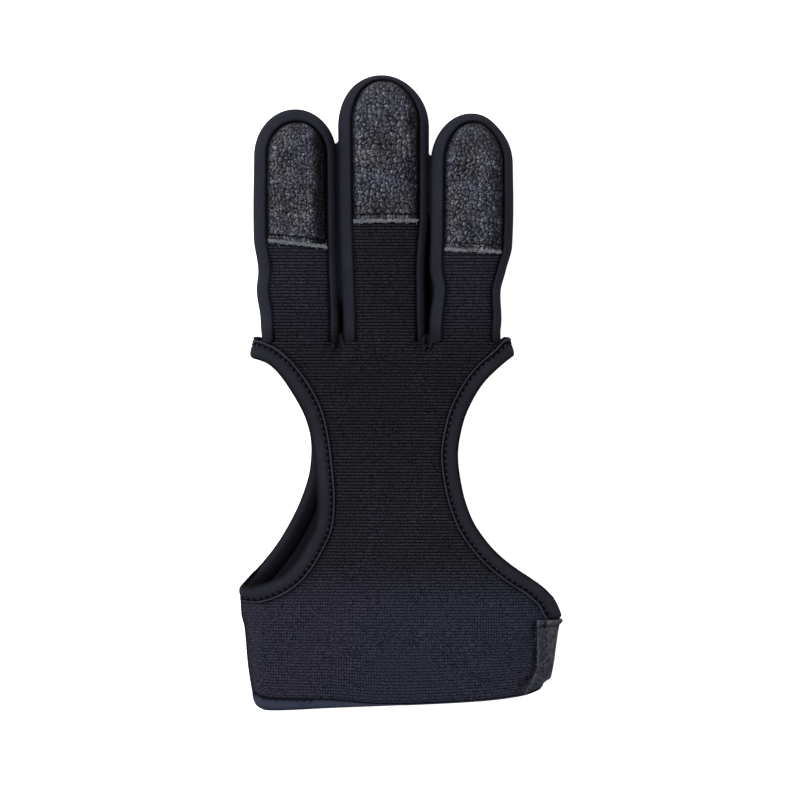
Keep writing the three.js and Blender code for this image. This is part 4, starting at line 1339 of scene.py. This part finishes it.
def make_leather_edges():
    """Raw lower edges of the leather with loose fibres, and the stitch line above them."""
    fibres = Threads()
    stitches = Threads()
    chance = np.random.default_rng(7)
    for finger in FINGERS:
        low = CROTCH_Y + finger["length"] - finger["leather"]
        x0, x1 = [float(v[0]) for v in tongue_sides(finger, np.array([low]), 0.3)]
        for _ in range(FIBRE_COUNT):
            x = chance.uniform(x0, x1)
            y = float(leather_bottom(finger, x)) + chance.normal(-0.05, 0.28)
            z = float(finger_height(finger, x, y, GAP)) + chance.uniform(0.35, 1.0)
            turn = chance.normal(0.0, 0.7)
            along = np.array([np.cos(turn), np.sin(turn), chance.normal(0, 0.25)])
            fibres.add(np.array([x, y, z]), along, UP, chance.uniform(0.5, 1.6), 0.06)
        slope = -finger["slant"] / finger["width"]
        count = int((x1 - x0) / SEAM_PITCH)
        for k in range(count):
            x = mix(x0, x1, (k + 0.5) / count)
            y = float(leather_bottom(finger, x)) + SEAM_UP
            z = float(finger_height(finger, x, y, GAP)) + LEATHER_THICKNESS - 0.25
            stitches.add(np.array([x, y, z]), np.array([1, slope, 0]), UP, 1.2, 0.16)
    fibres.build("leather_edge_fibres", RAW_EDGE)
    stitches.build("leather_stitches", LEATHER_THREAD)


def make_gusset(index):
    """A small folded cloth where two fingers part, with the wall between them."""
    cx, cy = CROTCHES[index]
    path = np.array([
        (-3.2, 9.6), (-2.0, 9.9), (-0.6, 9.8), (0.8, 9.2), (2.0, 8.2),
        (3.0, 6.8), (3.4, 5.2), (3.5, 3.4), (3.5, 1.6), (3.4, 0.7),
    ])
    chord = np.concatenate([[0], np.cumsum(np.hypot(*np.diff(path, axis=0).T))])
    at = np.linspace(0, chord[-1], 26)
    y = cy + curve_through(chord, path[:, 0])(at)
    z = curve_through(chord, path[:, 1])(at)
    u = np.linspace(-1, 1, 21)
    wide = mix(3.4, 1.6, smoothstep(0, 6, at))
    if index == 1:
        wide = wide * np.sqrt(np.clip((at + 0.2) / 2.2, 0, 1))
    fold = 0.9 * np.exp(-((np.abs(u) - 0.55) / 0.22) ** 2) - 1.0 * np.exp(-(u / 0.25) ** 2)
    fade = smoothstep(9, 2, at)
    x = cx + u * wide[:, None]
    yy = y[:, None] + (-0.9, 0.8)[index] * (u ** 2)[None, :] * fade[:, None] + 0.8 * fade[:, None]
    zz = z[:, None] + fold[None, :] * fade[:, None] * 0.8
    grid = np.stack([x, yy + 0 * x, zz + 0 * x], axis=-1)
    # Painted light: painted highlights on the fold's ridges and painted shade in its middle
    shade = 0.25 + 0.55 * np.exp(-((np.abs(u) - 0.55) / 0.25) ** 2) + 0 * x
    cloth = Cloth()
    cloth.shell(grid, grid - grid_normals(grid) * 0.8, painted_light_and_tone=shade)
    name = ("left", "right")[index]
    return cloth.build("crotch_gusset_" + name, STRETCH, ["stretch_back"])


# Where the cloth between two fingers ends, its low and high heights, and where it rises
WEB_TOPS = (87.5, 83.5)
WEB_HEIGHT = 3.6
WEB_HIGH = 9.2
WEB_RISES = ((24, 34), (50, 62))
WEB_SAG = 3.0


def make_web(index):
    """The strip of back cloth low between two fingers, darkened with painted shade."""
    first, second = FINGERS[index], FINGERS[index + 1]
    y = np.linspace(CROTCH_Y - 1, WEB_TOPS[index], 90)
    centre_a, half_a, _ = finger_lines(first, y, PROUD)
    centre_b, half_b, _ = finger_lines(second, y, PROUD)
    left, right = centre_a + half_a - 1.3, centre_b - half_b + 1.3
    u = np.linspace(0, 1, 9)
    x = left[:, None] + (right - left)[:, None] * u
    low, high = WEB_RISES[index]
    risen = smoothstep(low, high, y)[:, None]
    uneven = 0.3 * (noise(y[:, None] / 5, x / 3, 41 + index) - 0.5)
    z = mix(WEB_HEIGHT, WEB_HIGH, risen) - 0.8 * np.sin(np.pi * u) + uneven
    sag = WEB_SAG * np.sin(np.pi * u) * smoothstep(WEB_TOPS[index] - 15, WEB_TOPS[index], y)[:, None]
    grid = np.stack([x, y[:, None] - sag, z + 0 * x], axis=-1)
    cloth = Cloth()
    # Painted shade: dark low down, and along the middle of the higher part where it lies deep between the
    # fingers
    shade = mix(0.3, 1.0 - 0.75 * np.sin(np.pi * u) ** 2, risen)
    cloth.shell(grid, grid - 1.2 * UP, painted_light_and_tone=shade)
    name = ("left", "right")[index]
    return cloth.build("finger_web_" + name, STRETCH, ["stretch_back"])


# Profile of the hem: distance up from the wrist's edge as a share of its width, height over the knit, and
# painted shade, darker at its folded edges and underneath
HEM_PROFILE = [
    (1.0, -0.3, 0.2), (1.0, 0.25, 0.25), (0.97, 0.45, 0.3), (0.88, 0.56, 0.6), (0.7, 0.62, 1.0),
    (0.45, 0.60, 1.1), (0.2, 0.44, 0.9), (0.06, 0.1, 0.5), (0.0, -0.3, 0.3), (0.0, -0.7, 0.3),
    (0.06, -1.0, 0.3), (0.2, -1.25, 0.3), (0.6, -1.4, 0.3), (1.0, -1.3, 0.3), (1.02, -0.8, 0.3),
]
HEM_STEPS = 46
# The zigzag stitches at the hem's left: how many, where the first lies and how far apart they are
HEM_STITCHES = 16
HEM_STITCH_X = -47.0
HEM_STITCH_PITCH = 1.15


def make_hem():
    """The folded hem round the wrist's mouth."""
    angles = turns((0, 90, 180, 270, 360), (HEM_STEPS,) * 4)[:-1]
    rings = np.zeros((len(angles), len(HEM_PROFILE), 3))
    for k, angle in enumerate(angles):
        on_top = float(smoothstep(-0.1, 0.5, math.sin(angle)))
        for j, (share, lift, _) in enumerate(HEM_PROFILE):
            y = WRIST_END_Y + 4
            for _ in range(3):
                x, z = hand_ring(np.array([y]), np.array([angle]), lift)
                across = float(x[0, 0])
                shown = mix(HEM_BACK_WIDTH, float(HEM_SHOWN_AT(across)), on_top)
                y = float(wrist_edge(across)) + shown * share
            rings[k, j] = (across, y, z[0, 0])
    # Painted shade across the hem, from its profile
    shade = np.array([[tone_with_painted_light for _, _, tone_with_painted_light in HEM_PROFILE]] * len(angles))
    cloth = Cloth()
    cloth.tube(rings, painted_light_and_tone=shade, closed=True)
    cloth.build("hem_band", HEM, ["wrist_hem"])
    threads = Threads()
    for k in range(HEM_STITCHES):
        x = HEM_STITCH_X + HEM_STITCH_PITCH * k
        y = float(wrist_edge(x) + HEM_SHOWN_AT(x)) - 0.25
        z = float(face_height(np.array([x]), np.array([y]))[0]) + 0.75
        slant = 0.8 if k % 2 else -0.8
        threads.add(np.array([x, y, z]), np.array([1, slant, 0]), UP, 1.5, 0.14)
    threads.build("hem_stitches", BINDING_THREAD)


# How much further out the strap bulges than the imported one
STRAP_LIFT = 0.35
# Profile of the strap: distance down from its upper edge and height over its outer face
STRAP_PROFILE = [
    (0.0, -0.5), (0.05, -0.1), (0.3, 0.2), (0.8, 0.36), (1.35, 0.26), (1.75, -0.06), (2.1, -0.12),
    (2.7, 0.0), (6.0, 0.0), (10.0, 0.0), (14.0, 0.0), (17.5, 0.0), (19.2, -0.02), (19.8, -0.12),
    (20.1, -0.35), (20.2, -0.7), (20.1, -1.05), (19.8, -1.3), (19.0, -1.4), (15.0, -1.4), (10.0, -1.4),
    (5.0, -1.4), (1.0, -1.4), (0.4, -1.3), (0.1, -1.05),
]
STRAP_COLUMNS = 110
# Points of a quarter of the section under the strap, and the first point that surely lies below the wrist
STRAP_TURN_STEPS = 50
STRAP_BELOW = 110
# The strap's rounded ends: distances of their points from the end, and how full the strap is there
END_STEPS = np.array([0.0, 0.06, 0.18, 0.36])
END_FULL = (0.25, 0.6, 0.85, 0.97)
END_LENGTH = 0.6
# How strongly the corners of the strap's end on the back are cut away
CORNER_CUT = 19.2
# How much the lower corner of its front end sinks
CORNER_SINK = 0.9


def make_strap():
    """The wrist strap, from its end on the front round the side to its end on the back."""
    skin = PROUD + GAP + STRAP_THICKNESS + STRAP_LIFT
    angles = turns((90, 0, -90, -180), (STRAP_TURN_STEPS,) * 3)
    ending = len(END_STEPS)
    rings = np.zeros((STRAP_COLUMNS, len(STRAP_PROFILE), 3))
    t = np.linspace(0, 1, STRAP_COLUMNS - 2 * ending)
    for j, (down, lift) in enumerate(STRAP_PROFILE):
        share = down / STRAP_WIDTH
        base_y = STRAP_TOP_Y - down
        x, z = hand_ring(np.array([base_y]), angles, skin, 0.0)
        s = arcs(x, z)[0]
        x, z = x[0], z[0]
        start_x = STRAP_SIDE_X - TAB_REACH * float(TAB_SIDE_AT(share))
        start = float(np.interp(start_x, x[:STRAP_TURN_STEPS], s[:STRAP_TURN_STEPS]))
        order = np.argsort(x[STRAP_BELOW:])
        corner = CORNER_CUT * max(0.0, abs(share - 0.5) * 2 - 0.6) ** 2
        end = float(np.interp(STRAP_END_X + corner, x[STRAP_BELOW:][order], s[STRAP_BELOW:][order]))
        between = start + END_LENGTH + (end - start - 2 * END_LENGTH) * t
        places = np.concatenate([start + END_STEPS, between, end - END_STEPS[::-1]])
        px = np.interp(places, s, x)
        pz = np.interp(places, s, z)
        dx = np.interp(places + 0.2, s, x) - np.interp(places - 0.2, s, x)
        dz = np.interp(places + 0.2, s, z) - np.interp(places - 0.2, s, z)
        size = np.hypot(dx, dz)
        away_x = -dz / size
        away_z = dx / size
        squeeze = np.ones(STRAP_COLUMNS)
        squeeze[:ending] = END_FULL
        squeeze[-ending:] = END_FULL[::-1]
        height = mix(-STRAP_THICKNESS / 2, lift, squeeze)
        inwards = np.clip((STRAP_SIDE_X - px) / TAB_REACH, 0, 1) * (pz > SPLIT_HEIGHT)
        drop = TAB_DROP_AT(inwards)
        rings[:, j, 0] = px + away_x * height
        rings[:, j, 1] = STRAP_TOP_Y - down * drop
        sink = CORNER_SINK * smoothstep(0.7, 1.0, share) * inwards
        rings[:, j, 2] = np.maximum(pz + away_z * height, 0.0) - sink
    down = np.array([row[0] for row in STRAP_PROFILE])
    # Painted light: a painted highlight along the rolled upper edge, a line of painted shadow under it, and
    # the front end lightened as a painted highlight on its edge
    shade = 1.0 - 0.6 * np.exp(-((down - 2.0) / 0.35) ** 2) + 0.5 * np.exp(-((down - 0.8) / 0.4) ** 2)
    shade = shade + np.zeros((STRAP_COLUMNS, 1))
    shade[:ending] *= 1.25
    cloth = Cloth()
    cloth.tube(rings, painted_light_and_tone=shade)
    cloth.build("strap_band", STRAP, ["wrist_strap"])
    pits = Threads()
    specks = Threads()
    chance = np.random.default_rng(5)
    outer = [k for k, (_, lift) in enumerate(STRAP_PROFILE) if lift > -0.6]
    tab = rings[ending:3 * ending, outer]

    def on_tab(at, inwards):
        """The point of the tab's outer face at a place down its edge and so far in from it."""
        line = np.array([[np.interp(at, np.arange(len(outer)), row[:, k]) for k in range(3)] for row in tab])
        x = line[0, 0] + inwards
        return np.array([x, np.interp(x, line[:, 0], line[:, 1]), np.interp(x, line[:, 0], line[:, 2])])

    for share in np.linspace(0.02, 0.98, 22):
        at = share * (len(outer) - 1)
        p = on_tab(at, 0)
        q = on_tab(at + 0.2, 0)
        if 0.12 < share < 0.95:
            inwards = 2.0 + chance.normal(0, 0.35)
            along = q - p + chance.normal(0, 0.3, 3) * (1, 1, 0)
            pits.add(on_tab(at, inwards), along, UP, chance.uniform(0.5, 1.1), 0.16)
        if share > 0.5:
            specks.add(p + np.array([-1.1 + chance.normal(0, 0.2), 0, -0.9]), q - p, UP, 0.7, 0.14)
    pits.build("tab_stitches", STRAP_THREAD)
    specks.build("tab_thread_ends", STRAP_SPECKS)


def make_patch(name, x0, length, top):
    """A fastener patch under the wrist's back: a thin slab with softened edges."""
    y0 = STRAP_BOTTOM_Y + PATCH_MARGIN
    y1 = STRAP_TOP_Y - PATCH_MARGIN
    bpy.ops.object.select_all(action="DESELECT")
    bpy.ops.mesh.primitive_cube_add(size=1)
    slab = bpy.context.object
    slab.name = name + "_slab"
    slab.scale = (length * MM, (y1 - y0) * MM, PATCH_THICKNESS * MM)
    middle = np.array([x0 + length / 2, (y0 + y1) / 2, top - PATCH_THICKNESS / 2]) + SHIFT
    slab.location = tuple(middle * MM)
    bpy.ops.object.transform_apply(location=True, rotation=False, scale=True)
    soften = slab.modifiers.new("soften", "BEVEL")
    soften.width = 0.25 * MM
    soften.segments = 3
    bpy.ops.object.modifier_apply(modifier=soften.name)
    material, slot = FASTENER
    slab.data.materials.append(material)
    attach(slab, "root")
    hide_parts(name)


def make_patches():
    """The two fastener patches, the hook one under the loop one."""
    hook_x = STRAP_END_X + PATCH_MARGIN
    loop_x = hook_x - (LOOP_LENGTH - HOOK_LENGTH) / 4
    loop_top = WRIST_BASE - PROUD - GAP
    make_patch("loop_patch", loop_x, LOOP_LENGTH, loop_top)
    make_patch("hook_patch", hook_x, HOOK_LENGTH, loop_top - PATCH_THICKNESS - GAP)


make_knit()
for finger in FINGERS:
    make_sleeve(finger)
    make_leather(finger)
make_back()
for index in range(2):
    make_gusset(index)
    make_web(index)
for name, cut in CUTS.items():
    stitch_binding(name, cut, make_binding(name, cut))
make_leather_edges()
make_hem()
make_strap()
make_patches()


# Light, floor and camera
FLOOR_SIZE = 6
FLOOR_GLOW = 0.95
SKY_STRENGTH = 0.42
KEY_PLACE = (-0.55, 0.50, 0.95)
KEY_SIZE = 0.7
KEY_ENERGY = 13


def make_floor():
    """A white floor that glows, for the photo's even white."""
    bpy.ops.object.select_all(action="DESELECT")
    bpy.ops.mesh.primitive_plane_add(size=FLOOR_SIZE)
    floor = bpy.context.object
    floor.name = "floor"
    tree = Tree("floor_look")
    tree.shader.inputs["Emission Color"].default_value = (1, 1, 1, 1)
    tree.shader.inputs["Emission Strength"].default_value = FLOOR_GLOW
    floor.data.materials.append(tree.finish((0.9, 0.9, 0.9, 1), 0.9, 0.0))


def make_light(name, place, size, energy):
    """A round light that looks at the glove."""
    data = bpy.data.lights.new(name, "AREA")
    data.shape = "DISK"
    data.size = size
    data.energy = energy
    light = bpy.data.objects.new(name, data)
    light.location = place
    towards = -np.array(place)
    direction = towards / np.linalg.norm(towards)
    light.rotation_mode = "QUATERNION"
    light.rotation_quaternion = Vector(direction).to_track_quat("-Z", "Y")
    bpy.context.scene.collection.objects.link(light)


make_floor()
make_light("key", KEY_PLACE, KEY_SIZE, KEY_ENERGY)
world = bpy.data.worlds.new("studio")
world.use_nodes = True
world.node_tree.nodes["Background"].inputs["Color"].default_value = (1, 1, 1, 1)
world.node_tree.nodes["Background"].inputs["Strength"].default_value = SKY_STRENGTH
bpy.context.scene.world = world
bpy.context.scene.view_settings.view_transform = "Standard"

MM_PER_PIXEL = 0.34
PICTURE = 800
# The picture's row that the glove's middle lies on, and the height that is as large as in the photo
GLOVE_ROW = 392.5
GLOVE_LEVEL = 7.0
PICTURE_MIDDLE = (0.0, (GLOVE_ROW - PICTURE / 2) * MM_PER_PIXEL)
camera_data = bpy.data.cameras.new("camera")
camera_data.lens = 110
camera_data.sensor_width = 36
camera = bpy.data.objects.new("camera", camera_data)
distance = PICTURE * MM_PER_PIXEL * camera_data.lens / camera_data.sensor_width
camera.location = (
    (PICTURE_MIDDLE[0] + SHIFT[0]) * MM,
    (PICTURE_MIDDLE[1] + SHIFT[1]) * MM,
    (GLOVE_LEVEL + distance) * MM,
)
bpy.context.scene.collection.objects.link(camera)
bpy.context.scene.camera = camera
